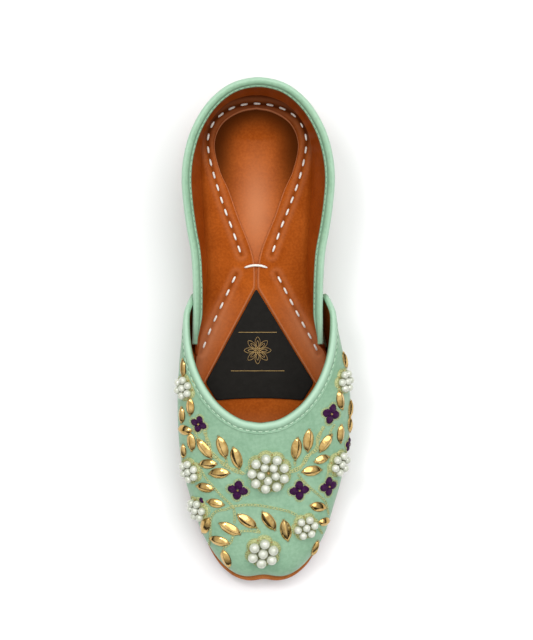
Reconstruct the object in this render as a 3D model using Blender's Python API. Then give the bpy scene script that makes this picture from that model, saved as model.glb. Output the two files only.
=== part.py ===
# Mojari shoe for the left foot: leather upper of vamp and quarter, tan leather sole, bead embroidery.
# Metres, +Z up. The toe points to -Y, the lateral side is +X, the floor is z = 0.
import math
from collections import namedtuple

import bmesh
import bpy
import numpy as np
from mathutils import Matrix, Vector
from mathutils.bvhtree import BVHTree

# Main sizes of the last
SOLE_LENGTH = 0.2462     # back of the heel to the toe tip, on the sole's edge
BALL_WIDTH = 0.084       # upper over the ball, outside
HEEL_WIDTH = 0.075       # collar over the heel, outside of its binding
HEEL_SWING = 0.0038      # the heel's middle line lies this far to the medial side of the toe's
BACK_HEIGHT = 0.0505     # collar at the back, above the floor
WAIST_HEIGHT = 0.0435    # collar at the waist
THROAT_HEIGHT = 0.0475   # middle of the vamp's throat
THROAT_SIDE = 0.0425     # vamp's topline where it runs straight back
VAMP_LENGTH = 0.0802     # toe tip to the throat, level
COLLAR_ROUND = 0.0492    # length of the collar's round back
THROAT_ROUND = 0.0526    # length of the throat's round front
THROAT_WIDTH = 0.0722    # vamp's topline from side to side
HEEL_OVERHANG = 0.00235  # collar's back stands this far behind the sole's

# Sole
SOLE_THICKNESS = 0.0040
HEEL_LIFT = 0.0055       # low stacked heel under the sole
LIFT_INSET = 0.0007      # the lift's edge lies inside the sole's edge
TOE_SPRING = 0.0065
HEEL_ROUND = 0.0320      # length of the sole's round back
TOE_NOTCH = 0.0010       # shallow dip in the middle of the toe
VAMP_INSET = 0.0011      # vamp's foot inside the sole's edge
TOE_LEDGE = 0.0011       # extra ledge of the sole in front of the toe
QUARTER_INSET = 0.0026   # quarter's foot inside the sole's edge

# Leather
WALL = 0.0018            # upper with its lining
BINDING_WIDTH = 0.0036   # rolled edge strips
BINDING_HEIGHT = 0.0042
INSOLE_THICKNESS = 0.0020
HEEL_CROWN = 0.0012      # soft rise of the footbed's heel
SOCK_THICKNESS = 0.0012
LABEL_THICKNESS = 0.0009
INSOLE_INSET = 0.0052    # footbed's edge inside the sole's edge
SOCK_INSET = 0.0062
GAP = 0.0003             # clearance between pieces
ORNAMENT_SEAT = 0.0004   # ornaments lie this far over the leather
DRAPE_REACH = 0.012      # how far ornaments may follow the upper's curve
STEEP_SHARE = 0.35             # a wall whose lateral direction leaves less than this is upright

# Ornaments
LEAF_LENGTH = 0.0112     # gold leaf beads
LEAF_WIDTH = 0.0052
LEAF_HEIGHT = 0.0019
PAD_HEIGHT = 0.0006      # stitched pad under the pearls
PETAL_HEIGHT = 0.0010    # padded satin-thread petals
PETAL_REACH = 0.0052

# Chart of the ornaments, as seen from one point high over the shoe
EYE_HEIGHT = 1.3000
EYE_SIDE = -0.0424
EYE_FORE = 0.0076
CHART_LEVEL = 0.0250     # height of the chart's plane
BALL_COUNT = 169.2       # chart steps from side to side over the ball
VAMP_COUNT = 161.5       # chart steps from the toe tip to the throat
CHART_MIDDLE = 351.9     # column of the shoe's middle
CHART_TOE = 583.3        # row of the toe tip

# Proportions of the upper, the sole and the lining pieces
MEDIAL_BELLY_SHARE = 0.62   # the medial side bulges less over the ball than the lateral one
THROAT_SWING = 0.0029    # the throat's middle lies this far to the medial side
COLLAR_DROP_SHARE = 1.085      # collar's height at its widest place, against the waist's
SPRING_SHARE = 0.72      # the toe spring starts here
LIFT_SHARE = 0.265       # the lift's front, as a share of the sole
SOCK_END_SHARE = 0.600       # sock's front ends
LABEL_WIDTH = 0.0545
LABEL_TIP_SHARE = 0.404
LABEL_BASE_SHARE = 0.633
LABEL_CORNER_SHARE = 0.165
LABEL_ARCH_SHARE = 0.022

# Meshing
EDGE_POINTS = 76
BED_ROWS = 26
BED_COLUMNS = 4
FOOTBED_COLUMNS = 7
VAMP_RIBS = 52
VAMP_STEPS = 10
QUARTER_RIBS = 40
QUARTER_STEPS = 6
RIB_DETAIL = 61
VAMP_BINDING_FREE = 0.07     # shares of the ribs at the ends that carry no binding
QUARTER_BINDING_FREE = 0.05
VAMP_TUCK_SHARE = 0.72       # from here the vamp's binding draws back from the quarter

SoleRow = namedtuple("SoleRow", "share medial lateral")
# Half widths from the middle line, as shares of the width at that place
SOLE_ROWS = (
    SoleRow(1.0000, 0.080, 0.080),
    SoleRow(0.9950, 0.150, 0.150),
    SoleRow(0.9850, 0.203, 0.203),
    SoleRow(0.9620, 0.272, 0.272),
    SoleRow(0.9150, 0.348, 0.345),
    SoleRow(0.8550, 0.403, 0.396),
    SoleRow(0.7850, 0.456, 0.447),
    SoleRow(0.7200, 0.466, 0.472),
    SoleRow(0.6500, 0.459, 0.480),
    SoleRow(0.5500, 0.416, 0.436),
    SoleRow(0.4600, 0.374, 0.384),
    SoleRow(0.3800, 0.355, 0.368),
    SoleRow(0.2500, 0.392, 0.396),
)
HEEL_HALF_SHARE = 0.407        # half of the sole's heel, as a share of the collar's width

VampRow = namedtuple("VampRow", "foot head rise belly pull dip")
# One row for each rib from the toe's middle to the rear edge at the side.
# foot and head are shares of the two edges; rise and dip are shares of the rib's height;
# belly is a share of the ball's width and pull one of the vamp's length.
VAMP_ROWS = (
    VampRow(0.00, 0.00, 0.34, 0.022, 0.58, 0.56),
    VampRow(0.13, 0.09, 0.35, 0.038, 0.53, 0.53),
    VampRow(0.28, 0.19, 0.38, 0.065, 0.43, 0.46),
    VampRow(0.45, 0.33, 0.43, 0.085, 0.31, 0.34),
    VampRow(0.62, 0.50, 0.48, 0.085, 0.19, 0.25),
    VampRow(0.78, 0.68, 0.48, 0.068, 0.09, 0.24),
    VampRow(0.90, 0.86, 0.44, 0.034, 0.02, 0.28),
    VampRow(1.00, 1.00, 0.40, 0.016, 0.00, 0.30),
)

QuarterRow = namedtuple("QuarterRow", "foot head rise belly pull dip")
# One row for each rib from the back's middle to the front edge inside the vamp
QUARTER_ROWS = (
    QuarterRow(0.00, 0.00, 0.36, 0.055, 0.004, 0.30),
    QuarterRow(0.20, 0.20, 0.36, 0.055, 0.004, 0.30),
    QuarterRow(0.40, 0.40, 0.36, 0.050, 0.000, 0.30),
    QuarterRow(0.60, 0.60, 0.38, 0.045, 0.000, 0.30),
    QuarterRow(0.80, 0.80, 0.40, 0.045, 0.000, 0.30),
    QuarterRow(1.00, 1.00, 0.40, 0.045, 0.000, 0.30),
)

CollarRow = namedtuple("CollarRow", "ahead half height")
# Collar in front of its round back: shares of the sole's length, the collar's width there and
# the waist's height. That width goes over from the heel's to the throat's.
COLLAR_ROWS = (
    CollarRow(0.050, 0.476, 1.045),
    CollarRow(0.098, 0.458, 1.015),
    CollarRow(0.145, 0.438, 1.000),
    CollarRow(0.195, 0.432, 0.985),
    CollarRow(0.243, 0.429, 0.940),
    CollarRow(0.290, 0.432, 0.860),
    CollarRow(0.328, 0.436, 0.740),
)
EarRow = namedtuple("EarRow", "behind half height")
# Vamp's ears behind the throat's round front
EAR_ROWS = (
    EarRow(0.012, 0.494, 0.985),
    EarRow(0.028, 0.475, 0.925),
    EarRow(0.040, 0.458, 0.835),
    EarRow(0.045, 0.451, 0.720),
)
DropRow = namedtuple("DropRow", "share half")
# Half of the sock's opening, from the heel to the label's tip
DROP_ROWS = (
    DropRow(0.040, 0.000),
    DropRow(0.047, 0.110),
    DropRow(0.070, 0.225),
    DropRow(0.108, 0.277),
    DropRow(0.164, 0.243),
    DropRow(0.206, 0.181),
    DropRow(0.255, 0.127),
    DropRow(0.350, 0.021),
    DropRow(0.440, 0.015),
)
VAMP_END_SHARE = 0.452       # share of the sole, from the heel, where the vamp's rear edge meets it
QUARTER_END_SHARE = 0.545    # share of the sole where the quarter's front edge meets it


LeafRow = namedtuple("LeafRow", "x y turn size")
# Gold leaves: place on the chart, turn from the lateral side in degrees, share of the full size
LEAVES = (
    LeafRow(270.6, 367.5, 90, 0.75), LeafRow(277.6, 406.4, 90, 0.75), LeafRow(269.3, 414.5, 90, 0.7),
    LeafRow(271.6, 429.5, 10, 0.8), LeafRow(278.6, 441.5, 96, 0.8), LeafRow(291.7, 448.1, -48, 1.0),
    LeafRow(309.5, 446.6, -71, 1.0), LeafRow(323.6, 457.5, -74, 1.0), LeafRow(270.8, 450.5, 90, 0.62),
    LeafRow(295.1, 463.4, 10, 0.8), LeafRow(306.4, 472.6, 9, 0.9), LeafRow(302.6, 502.6, -5, 0.75),
    LeafRow(292.1, 487.0, 0, 0.8), LeafRow(334.0, 520.6, -36, 1.0), LeafRow(317.0, 528.1, -26, 1.0),
    LeafRow(306.3, 540.4, -2, 0.9), LeafRow(356.0, 520.4, -57, 1.0), LeafRow(372.8, 529.9, -78, 1.0),
    LeafRow(292.4, 525.3, 66, 1.0), LeafRow(313.1, 558.4, -73, 0.9), LeafRow(431.4, 360.0, -72, 0.7),
    LeafRow(427.5, 400.0, -75, 0.85), LeafRow(437.0, 408.5, 90, 0.7), LeafRow(437.5, 424.5, -63, 0.7),
    LeafRow(427.8, 433.5, 88, 0.8), LeafRow(412.8, 442.7, 50, 0.9), LeafRow(395.3, 440.2, 87, 1.0),
    LeafRow(383.4, 448.5, 85, 1.0), LeafRow(408.8, 458.9, 10, 0.7), LeafRow(399.0, 470.4, -2, 0.9),
    LeafRow(405.4, 506.4, -20, 0.8), LeafRow(412.0, 521.4, -20, 0.7), LeafRow(402.2, 547.8, 67, 0.77),
)
PearlRow = namedtuple("PearlRow", "x y count reach pearl inner inner_reach")
# Pearl flowers: a ring of pearls round one pearl or a smaller ring; lengths in chart steps
PEARL_FLOWERS = (
    PearlRow(355.5, 471.5, 9, 17.0, 8.6, 5, 7.0),
    PearlRow(350.0, 550.9, 6, 10.9, 9.8, 1, 0.0),
    PearlRow(392.2, 526.2, 6, 9.6, 7.2, 1, 0.0),
    PearlRow(285.2, 508.4, 6, 9.0, 7.2, 1, 0.0),
    PearlRow(277.9, 470.0, 6, 8.2, 7.0, 1, 0.0),
    PearlRow(425.9, 462.9, 6, 9.2, 7.2, 1, 0.0),
    PearlRow(272.2, 387.2, 6, 8.0, 7.0, 1, 0.0),
    PearlRow(430.9, 380.9, 6, 8.0, 7.0, 1, 0.0),
)
PetalRow = namedtuple("PetalRow", "x y turn size")
# Four-petalled flowers of satin thread
PETAL_FLOWERS = (
    PetalRow(286.0, 423.5, 20, 0.85), PetalRow(418.3, 413.6, 10, 1.0), PetalRow(434.8, 444.0, 0, 0.7),
    PetalRow(324.9, 489.6, 12, 1.0), PetalRow(386.5, 490.0, 5, 1.0), PetalRow(415.9, 486.1, 0, 1.0),
)


def clear_scene():
    for item in list(bpy.data.objects):
        bpy.data.objects.remove(item, do_unlink=True)


def smooth(low, high, value):
    share = np.clip((value - low) / (high - low), 0.0, 1.0)
    return share * share * (3.0 - 2.0 * share)


def spline(points, count):
    # Smooth curve through the points, its pace following the square root of their distances
    points = np.asarray(points, float)
    before = 2.0 * points[:1] - points[1:2]
    after = 2.0 * points[-1:] - points[-2:-1]
    ring = np.vstack((before, points, after))
    pace = np.cumsum(np.r_[0.0, np.sqrt(np.linalg.norm(np.diff(ring, axis=0), axis=1))])
    slope = np.diff(ring, axis=0) / np.diff(pace)[:, None]
    left = np.diff(pace)[:-1, None]
    right = np.diff(pace)[1:, None]
    tangent = (slope[:-1] * right + slope[1:] * left) / (left + right)
    knots = pace[1:-1]
    at = np.linspace(knots[0], knots[-1], count)
    part = np.clip(np.searchsorted(knots, at, side="right") - 1, 0, len(knots) - 2)
    width = (knots[part + 1] - knots[part])[:, None]
    t = ((at - knots[part])[:, None]) / width
    return ((2 * t**3 - 3 * t**2 + 1) * points[part] + (t**3 - 2 * t**2 + t) * width * tangent[part]
            + (3 * t**2 - 2 * t**3) * points[part + 1] + (t**3 - t**2) * width * tangent[part + 1])


def along(curve, shares, axes=2):
    # Rows of a polyline at shares of its length, which its first columns measure
    reach = np.r_[0.0, np.cumsum(np.linalg.norm(np.diff(curve[:, :axes], axis=0), axis=1))]
    at = np.asarray(shares, float) * reach[-1]
    return np.stack([np.interp(at, reach, curve[:, k]) for k in range(curve.shape[1])], axis=-1)


def column(rows, name):
    return np.array([getattr(row, name) for row in rows])


def blend_rows(rows, key, name, shares):
    # Smooth reading of one column of a table at shares of its key column
    table = np.stack([column(rows, key), column(rows, name)], axis=-1)
    curve = spline(table, 400)
    return np.interp(shares, curve[:, 0], curve[:, 1])


HEEL_Y = SOLE_LENGTH / 2.0
TOE_Y = -SOLE_LENGTH / 2.0


def share_of(y):
    return (HEEL_Y - y) / SOLE_LENGTH


def middle_x(share):
    return -HEEL_SWING * (1.0 - smooth(0.40, 0.66, share))


def width_at(share):
    mix = smooth(0.25, 0.60, share)
    return HEEL_WIDTH * (1.0 - mix) + BALL_WIDTH * mix


def sheet_under(share):
    # Underside of the sole's sheet: raised on the lift, flat under the ball, sprung at the toe
    lift = HEEL_LIFT * (1.0 - smooth(0.26, 0.58, share))
    spring = TOE_SPRING * np.clip((share - SPRING_SHARE) / (1.0 - SPRING_SHARE), 0.0, None)**2
    return lift + spring


def bed(share):
    return sheet_under(share) + SOLE_THICKNESS


def sole_side(side):
    # Half of the sole's edge from the toe's middle to the heel's; side is -1 medial, +1 lateral
    points = [(0.0, TOE_Y + TOE_NOTCH)]
    for row in SOLE_ROWS:
        half = row.medial if side < 0 else row.lateral
        points.append((middle_x(row.share) + side * half * width_at(row.share),
                       HEEL_Y - row.share * SOLE_LENGTH))
    for turn in np.radians((90.0, 65.0, 40.0, 18.0, 0.0)):
        points.append((-HEEL_SWING + side * HEEL_HALF_SHARE * HEEL_WIDTH * math.sin(turn),
                       HEEL_Y - HEEL_ROUND * (1.0 - math.cos(turn))))
    return spline(points, 700)


def away(curve, middle):
    # Level normals of a curve, pointing away from a middle point
    run = np.gradient(curve[:, :2], axis=0)
    run /= np.linalg.norm(run, axis=1)[:, None]
    normal = np.stack([run[:, 1], -run[:, 0]], axis=-1)
    turn = np.sign(((curve[:, :2] - middle) * normal).sum(axis=1))
    return normal * turn[:, None]


def foot_side(side, inset, ledge=0.0):
    # Line inside the sole's edge, with some more room at the toe, and its outward normals
    curve = sole_side(side)
    out = away(curve, (-HEEL_SWING / 2.0, 0.0))
    more = ledge * smooth(0.90, 0.97, share_of(curve[:, 1]))
    moved = curve - out * (inset + more)[:, None]
    moved[0, 0], moved[-1, 0] = curve[0, 0], curve[-1, 0]
    return moved, out


def closed_edge(inset, ledge=0.0):
    medial = foot_side(-1, inset, ledge)[0]
    lateral = foot_side(1, inset, ledge)[0]
    ring = np.vstack((medial, lateral[::-1][1:]))
    return along(ring, np.linspace(0.0, 1.0, EDGE_POINTS + 1)[:-1])


def throat_side(side):
    # Vamp's topline from the throat's middle to the end of the ear
    fore = TOE_Y + VAMP_LENGTH
    points = []
    for turn in np.radians((0.0, 15.0, 30.0, 45.0, 60.0, 75.0, 90.0)):
        level = THROAT_SIDE + (THROAT_HEIGHT - THROAT_SIDE) * math.cos(turn)**1.5
        points.append((-THROAT_SWING + side * THROAT_WIDTH / 2.0 * math.sin(turn),
                       fore + THROAT_ROUND * (1.0 - math.cos(turn)), level))
    for row in EAR_ROWS:
        points.append((-THROAT_SWING + side * row.half * THROAT_WIDTH,
                       fore + THROAT_ROUND + row.behind * SOLE_LENGTH, row.height * THROAT_SIDE))
    line = spline(points, 500)
    return line, away(line, (-THROAT_SWING, fore + THROAT_ROUND * 1.6))


def collar_side(side):
    # Quarter's topline from the back's middle to its end inside the vamp
    half = (HEEL_WIDTH - (BINDING_WIDTH - WALL)) / 2.0
    back = HEEL_Y + HEEL_OVERHANG
    waist = WAIST_HEIGHT * COLLAR_DROP_SHARE
    points = []
    for turn in np.radians((0.0, 20.0, 40.0, 60.0, 77.0, 90.0)):
        points.append((-HEEL_SWING + side * half * math.sin(turn),
                       back - COLLAR_ROUND * (1.0 - math.cos(turn)),
                       waist + (BACK_HEIGHT - waist) * math.cos(turn)**1.3))
    for row in COLLAR_ROWS:
        width = HEEL_WIDTH + (THROAT_WIDTH - HEEL_WIDTH) * smooth(0.05, 0.20, row.ahead)
        points.append((-HEEL_SWING + side * row.half * width,
                       back - COLLAR_ROUND - row.ahead * SOLE_LENGTH, row.height * WAIST_HEIGHT))
    line = spline(points, 500)
    return line, away(line, (-HEEL_SWING, back - COLLAR_ROUND * 1.5))


def rib_half(edge, line, rows, sizes, places, steps):
    # Half of a wall's outer surface: cubic ribs from the foot line up to the topline.
    # places run along the foot line, steps from the sole (0) to the topline (1).
    foot_line, foot_out = edge
    head_line, head_out = line
    belly_size, pull_size = sizes
    flat = along(np.hstack((foot_line, foot_out)), places)
    feet = np.column_stack((flat[:, :2], bed(share_of(flat[:, 1])) + GAP))
    head_at = blend_rows(rows, "foot", "head", places)
    tops = along(np.hstack((head_line, head_out)), head_at, axes=3)
    heads = tops[:, :3]
    level = np.zeros((len(places), 1))
    belly = blend_rows(rows, "foot", "belly", places)[:, None] * belly_size
    pull = blend_rows(rows, "foot", "pull", places)[:, None] * pull_size
    height = np.column_stack((level, level, heads[:, 2] - feet[:, 2]))
    first = feet + np.hstack((flat[:, 2:] * belly, level)) \
        + height * blend_rows(rows, "foot", "rise", places)[:, None]
    second = heads + np.hstack((tops[:, 3:] * pull, level)) \
        - height * blend_rows(rows, "foot", "dip", places)[:, None]
    t = np.asarray(steps)[None, :, None]
    return ((1 - t)**3 * feet[:, None] + 3 * (1 - t)**2 * t * first[:, None]
            + 3 * (1 - t) * t**2 * second[:, None] + t**3 * heads[:, None])


def reach_of(curve, out, start, stop):
    # Part of a half line between two shares of the sole's length
    share = share_of(curve[:, 1])
    keep = (share >= start) & (share <= stop)
    return curve[keep], out[keep]


def vamp_surface(ribs, steps):
    # Outer surface of the vamp, from the medial rear edge round the toe to the lateral one
    places = np.abs(np.linspace(-1.0, 1.0, 2 * ribs + 1))
    halves = []
    for side in (-1, 1):
        edge = reach_of(*foot_side(side, VAMP_INSET, TOE_LEDGE), VAMP_END_SHARE, 2.0)
        fullness = BALL_WIDTH * (MEDIAL_BELLY_SHARE if side < 0 else 1.0)
        halves.append(rib_half(edge, throat_side(side), VAMP_ROWS, (fullness, VAMP_LENGTH),
                               places[ribs:], steps))
    return np.concatenate((halves[0][:0:-1], halves[1]))


def quarter_surface(ribs, steps):
    # Outer surface of the quarter, from the medial front edge round the heel to the lateral one
    places = np.linspace(0.0, 1.0, ribs + 1)
    halves = []
    for side in (-1, 1):
        curve, out = reach_of(*foot_side(side, QUARTER_INSET), -1.0, QUARTER_END_SHARE)
        halves.append(rib_half((curve[::-1], out[::-1]), collar_side(side), QUARTER_ROWS,
                               (BALL_WIDTH, BALL_WIDTH), places, steps))
    return np.concatenate((halves[0][:0:-1], halves[1]))


def surface_normals(grid):
    # Outward normals of a wall's grid
    along_edge = np.gradient(grid, axis=0)
    up_rib = np.gradient(grid, axis=1)
    normal = np.cross(along_edge, up_rib)
    normal /= np.linalg.norm(normal, axis=2)[..., None]
    outer = grid - np.array((-HEEL_SWING / 2.0, 0.0, 0.0))
    facing = np.sign((normal[:, :2] * outer[:, :2] * (1.0, 1.0, 0.2)).sum(axis=(1, 2)))
    return normal * facing[:, None, None]


def read_ribs(grid, places):
    # Points of each rib at its own places from 0 to 1, between the grid's steps
    last = grid.shape[1] - 1
    low = np.clip((places * last).astype(int), 0, last - 1)
    part = (places * last - low)[..., None]
    rib = np.arange(len(grid))[:, None]
    return grid[rib, low] * (1.0 - part) + grid[rib, low + 1] * part


def edge_place(grid, drop):
    # Place on each rib that lies a given length below the topline
    pace = np.linalg.norm(grid[:, -1] - grid[:, -3], axis=1) / 2.0
    return 1.0 - drop / (pace * (grid.shape[1] - 1))


def grid_solid(name, outer, inner):
    # Closed wall between two grids of the same size
    rows, columns = outer.shape[:2]
    points = np.concatenate((outer.reshape(-1, 3), inner.reshape(-1, 3)))
    index = np.arange(rows * columns).reshape(rows, columns)
    back = index + rows * columns
    faces = []
    for i in range(rows - 1):
        for j in range(columns - 1):
            faces.append((index[i, j], index[i + 1, j], index[i + 1, j + 1], index[i, j + 1]))
            faces.append((back[i, j], back[i, j + 1], back[i + 1, j + 1], back[i + 1, j]))
        for j, turn in ((0, 1), (columns - 1, -1)):
            faces.append((index[i, j], back[i, j], back[i + 1, j], index[i + 1, j])[::turn])
    for j in range(columns - 1):
        for i, turn in ((0, -1), (rows - 1, 1)):
            faces.append((index[i, j], back[i, j], back[i, j + 1], index[i, j + 1])[::turn])
    return mesh_object(name, points, faces)


def mesh_object(name, points, faces):
    mesh = bpy.data.meshes.new(name)
    mesh.from_pydata([tuple(p) for p in points], [], [tuple(int(k) for k in f) for f in faces])
    fix = bmesh.new()
    fix.from_mesh(mesh)
    bmesh.ops.recalc_face_normals(fix, faces=fix.faces)
    fix.to_mesh(mesh)
    fix.free()
    item = bpy.data.objects.new(name, mesh)
    bpy.context.scene.collection.objects.link(item)
    return item


def combine(item, other, operation):
    # Exact Boolean of two solids, kept in the first one
    cut = item.modifiers.new("cut", "BOOLEAN")
    cut.operation = operation
    cut.solver = "EXACT"
    cut.object = other
    bpy.context.view_layer.update()
    graph = bpy.context.evaluated_depsgraph_get()
    shape = bpy.data.meshes.new_from_object(item.evaluated_get(graph))
    item.modifiers.clear()
    item.data = shape
    bpy.data.objects.remove(other, do_unlink=True)
    return item


def prism(name, ring, low, high):
    count = len(ring)
    points = [(x, y, low) for x, y in ring] + [(x, y, high) for x, y in ring]
    faces = [tuple(range(count)), tuple(range(count, 2 * count))]
    faces += [(k, (k + 1) % count, count + (k + 1) % count, count + k) for k in range(count)]
    return mesh_object(name, points, faces)


def sheet(name, ring, top, under, rows=BED_ROWS, columns=BED_COLUMNS):
    # Sheet with a plan outline, between two heights that follow the place
    margin = SOLE_THICKNESS
    low_y, high_y = ring[:, 1].min() - margin, ring[:, 1].max() + margin
    low_x, high_x = ring[:, 0].min() - margin, ring[:, 0].max() + margin
    y = np.linspace(high_y, low_y, rows)
    x = np.linspace(low_x, high_x, columns)
    grid_y, grid_x = np.meshgrid(y, x, indexing="ij")
    upper = np.stack((grid_x, grid_y, top(grid_x, grid_y)), axis=-1)
    lower = np.stack((grid_x, grid_y, under(grid_x, grid_y)), axis=-1)
    body = grid_solid(name, upper, lower)
    return combine(body, prism("outline", ring, -BACK_HEIGHT, BACK_HEIGHT), "INTERSECT")


def make_outsole():
    ring = closed_edge(0.0)
    sole = sheet("outsole", ring, lambda x, y: bed(share_of(y)), lambda x, y: sheet_under(share_of(y)))
    lift_ring = closed_edge(LIFT_INSET)
    lift = prism("lift", lift_ring, 0.0, HEEL_LIFT + SOLE_THICKNESS / 2.0)
    breast = HEEL_Y - LIFT_SHARE * SOLE_LENGTH
    half = BALL_WIDTH
    block = prism("block", np.array(((-half, breast), (half, breast), (half, 2 * HEEL_Y),
                                     (-half, 2 * HEEL_Y))), -SOLE_THICKNESS, BACK_HEIGHT)
    combine(lift, block, "INTERSECT")
    return combine(sole, lift, "UNION")


def footbed_top(x, y):
    # The footbed's upper face, softly crowned under the heel
    across = (x + HEEL_SWING) / (HEEL_WIDTH * HEEL_HALF_SHARE)
    lengthwise = (share_of(y) - HEEL_ROUND / SOLE_LENGTH) / 0.13
    crown = HEEL_CROWN * np.exp(-2.0 * (across**2 + lengthwise**2))
    return bed(share_of(y)) + GAP + INSOLE_THICKNESS + crown


def make_insole():
    ring = closed_edge(INSOLE_INSET)
    return sheet("insole", ring, footbed_top, lambda x, y: bed(share_of(y)) + GAP,
                 columns=FOOTBED_COLUMNS)


def teardrop():
    # Opening of the sock: a round head at the heel, running out to a slot at the label's tip
    points = []
    for row in DROP_ROWS:
        points.append((-HEEL_SWING + row.half * HEEL_WIDTH, HEEL_Y - row.share * SOLE_LENGTH))
    right = spline(points, 40)
    left = right[::-1] * (-1.0, 1.0) + (-2.0 * HEEL_SWING, 0.0)
    return np.vstack((right, left[1:-1]))


def label_outline(spread):
    # Triangle with its tip to the heel and a gently arched base
    half = LABEL_WIDTH / 2.0 + spread
    tip = HEEL_Y - LABEL_TIP_SHARE * SOLE_LENGTH + 2.0 * spread
    base = HEEL_Y - LABEL_BASE_SHARE * SOLE_LENGTH - spread
    corner = base + LABEL_CORNER_SHARE * LABEL_WIDTH
    middle = -HEEL_SWING * 0.5
    return np.array(((-HEEL_SWING, tip), (middle + half, corner), (middle + half * 0.78, base),
                     (middle, base + LABEL_ARCH_SHARE * LABEL_WIDTH), (middle - half * 0.78, base),
                     (middle - half, corner)))


def make_sock():
    ring = closed_edge(SOCK_INSET)
    back = ring[:, 1] > HEEL_Y - SOCK_END_SHARE * SOLE_LENGTH
    first = np.flatnonzero(back & ~np.roll(back, 1))[0]
    ring = np.roll(ring, -first, axis=0)[:np.count_nonzero(back)]
    sock = sheet("sock", ring, lambda x, y: footbed_top(x, y) + GAP + SOCK_THICKNESS,
                 lambda x, y: footbed_top(x, y) + GAP, columns=FOOTBED_COLUMNS)
    combine(sock, prism("drop", teardrop(), 0.0, BACK_HEIGHT), "DIFFERENCE")
    return combine(sock, prism("triangle", label_outline(GAP), 0.0, BACK_HEIGHT), "DIFFERENCE")


def make_label():
    return sheet("label", label_outline(0.0), lambda x, y: footbed_top(x, y) + GAP + LABEL_THICKNESS,
                 lambda x, y: footbed_top(x, y) + GAP, rows=12)


def make_wall(name, surface, ribs, count):
    dense = surface(ribs, np.linspace(0.0, 1.0, RIB_DETAIL))
    top = edge_place(dense, BINDING_HEIGHT + GAP)
    places = np.linspace(0.0, 1.0, count + 1)[None, :] * top[:, None]
    outer = read_ribs(dense, places)
    inner = outer - read_ribs(surface_normals(dense), places) * WALL
    inner[:, 0, 2] = outer[:, 0, 2]
    return grid_solid(name, outer, inner)


def make_binding(name, surface, ribs, end, tuck):
    # Rolled strip on top of a wall's edge. end is the share of ribs left free at each end, where
    # the strip's inner side draws back to the wall from the place given by tuck.
    dense = surface(ribs, np.linspace(0.0, 1.0, RIB_DETAIL))
    base = edge_place(dense, BINDING_HEIGHT)[:, None]
    edge = read_ribs(dense, base)[:, 0]
    normal = read_ribs(surface_normals(dense), base)[:, 0]
    up = edge - read_ribs(dense, base - 1.0 / RIB_DETAIL)[:, 0]
    up /= np.linalg.norm(up, axis=1)[:, None]
    middle = edge - normal * WALL / 2.0
    half = BINDING_WIDTH / 2.0
    place = np.abs(np.linspace(-1.0, 1.0, len(edge)))
    inside = np.full(len(place), half)
    if tuck is not None:
        inside -= (half + WALL / 4.0) * smooth(tuck, 1.0 - end, place)
    reach = (half + inside) / 2.0
    straight = BINDING_HEIGHT - half
    profile = [(-1.0, 0.0), (1.0, 0.0), (1.0, straight)]
    for turn in np.radians((30.0, 65.0, 115.0, 150.0)):
        profile.append((math.cos(turn), straight + half * math.sin(turn)))
    profile.append((-1.0, straight))
    first = int(round(end * ribs))
    keep = slice(first, len(edge) - first)
    centre = middle + normal * (half - reach)[:, None]
    points = [(centre + normal * (a * reach)[:, None] + up * b)[keep] for a, b in profile]
    grid = np.stack(points, axis=1)
    rows, columns = grid.shape[:2]
    index = np.arange(rows * columns).reshape(rows, columns)
    faces = [tuple(index[0]), tuple(index[-1])]
    for i in range(rows - 1):
        for j in range(columns):
            k = (j + 1) % columns
            faces.append((index[i, j], index[i + 1, j], index[i + 1, k], index[i, k]))
    return mesh_object(name, grid.reshape(-1, 3), faces)


def solid_tree(item):
    mesh = item.data
    mesh.calc_loop_triangles()
    return BVHTree.FromPolygons([vertex.co[:] for vertex in mesh.vertices],
                                [tuple(face.vertices) for face in mesh.loop_triangles])


def seat(tree, x, y):
    # Where the line from the chart's eye through a chart place meets the upper, with the level frame
    eye = Vector((EYE_SIDE, EYE_FORE, EYE_HEIGHT))
    place = Vector(((x - CHART_MIDDLE) * BALL_WIDTH / BALL_COUNT,
                    TOE_Y + (CHART_TOE - y) * VAMP_LENGTH / VAMP_COUNT, CHART_LEVEL))
    spot, normal, face, reach = tree.ray_cast(eye, (place - eye).normalized())
    if spot is None:
        spot, normal, face, reach = tree.find_nearest(place)
    lateral = Vector((1.0, 0.0, 0.0)) - normal * normal.x
    if lateral.length < STEEP_SHARE:
        down = Vector((0.0, 0.0, -math.copysign(1.0, place.x)))
        lateral = down - normal * down.dot(normal)
    lateral.normalize()
    return spot, normal, lateral, normal.cross(lateral)


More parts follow.
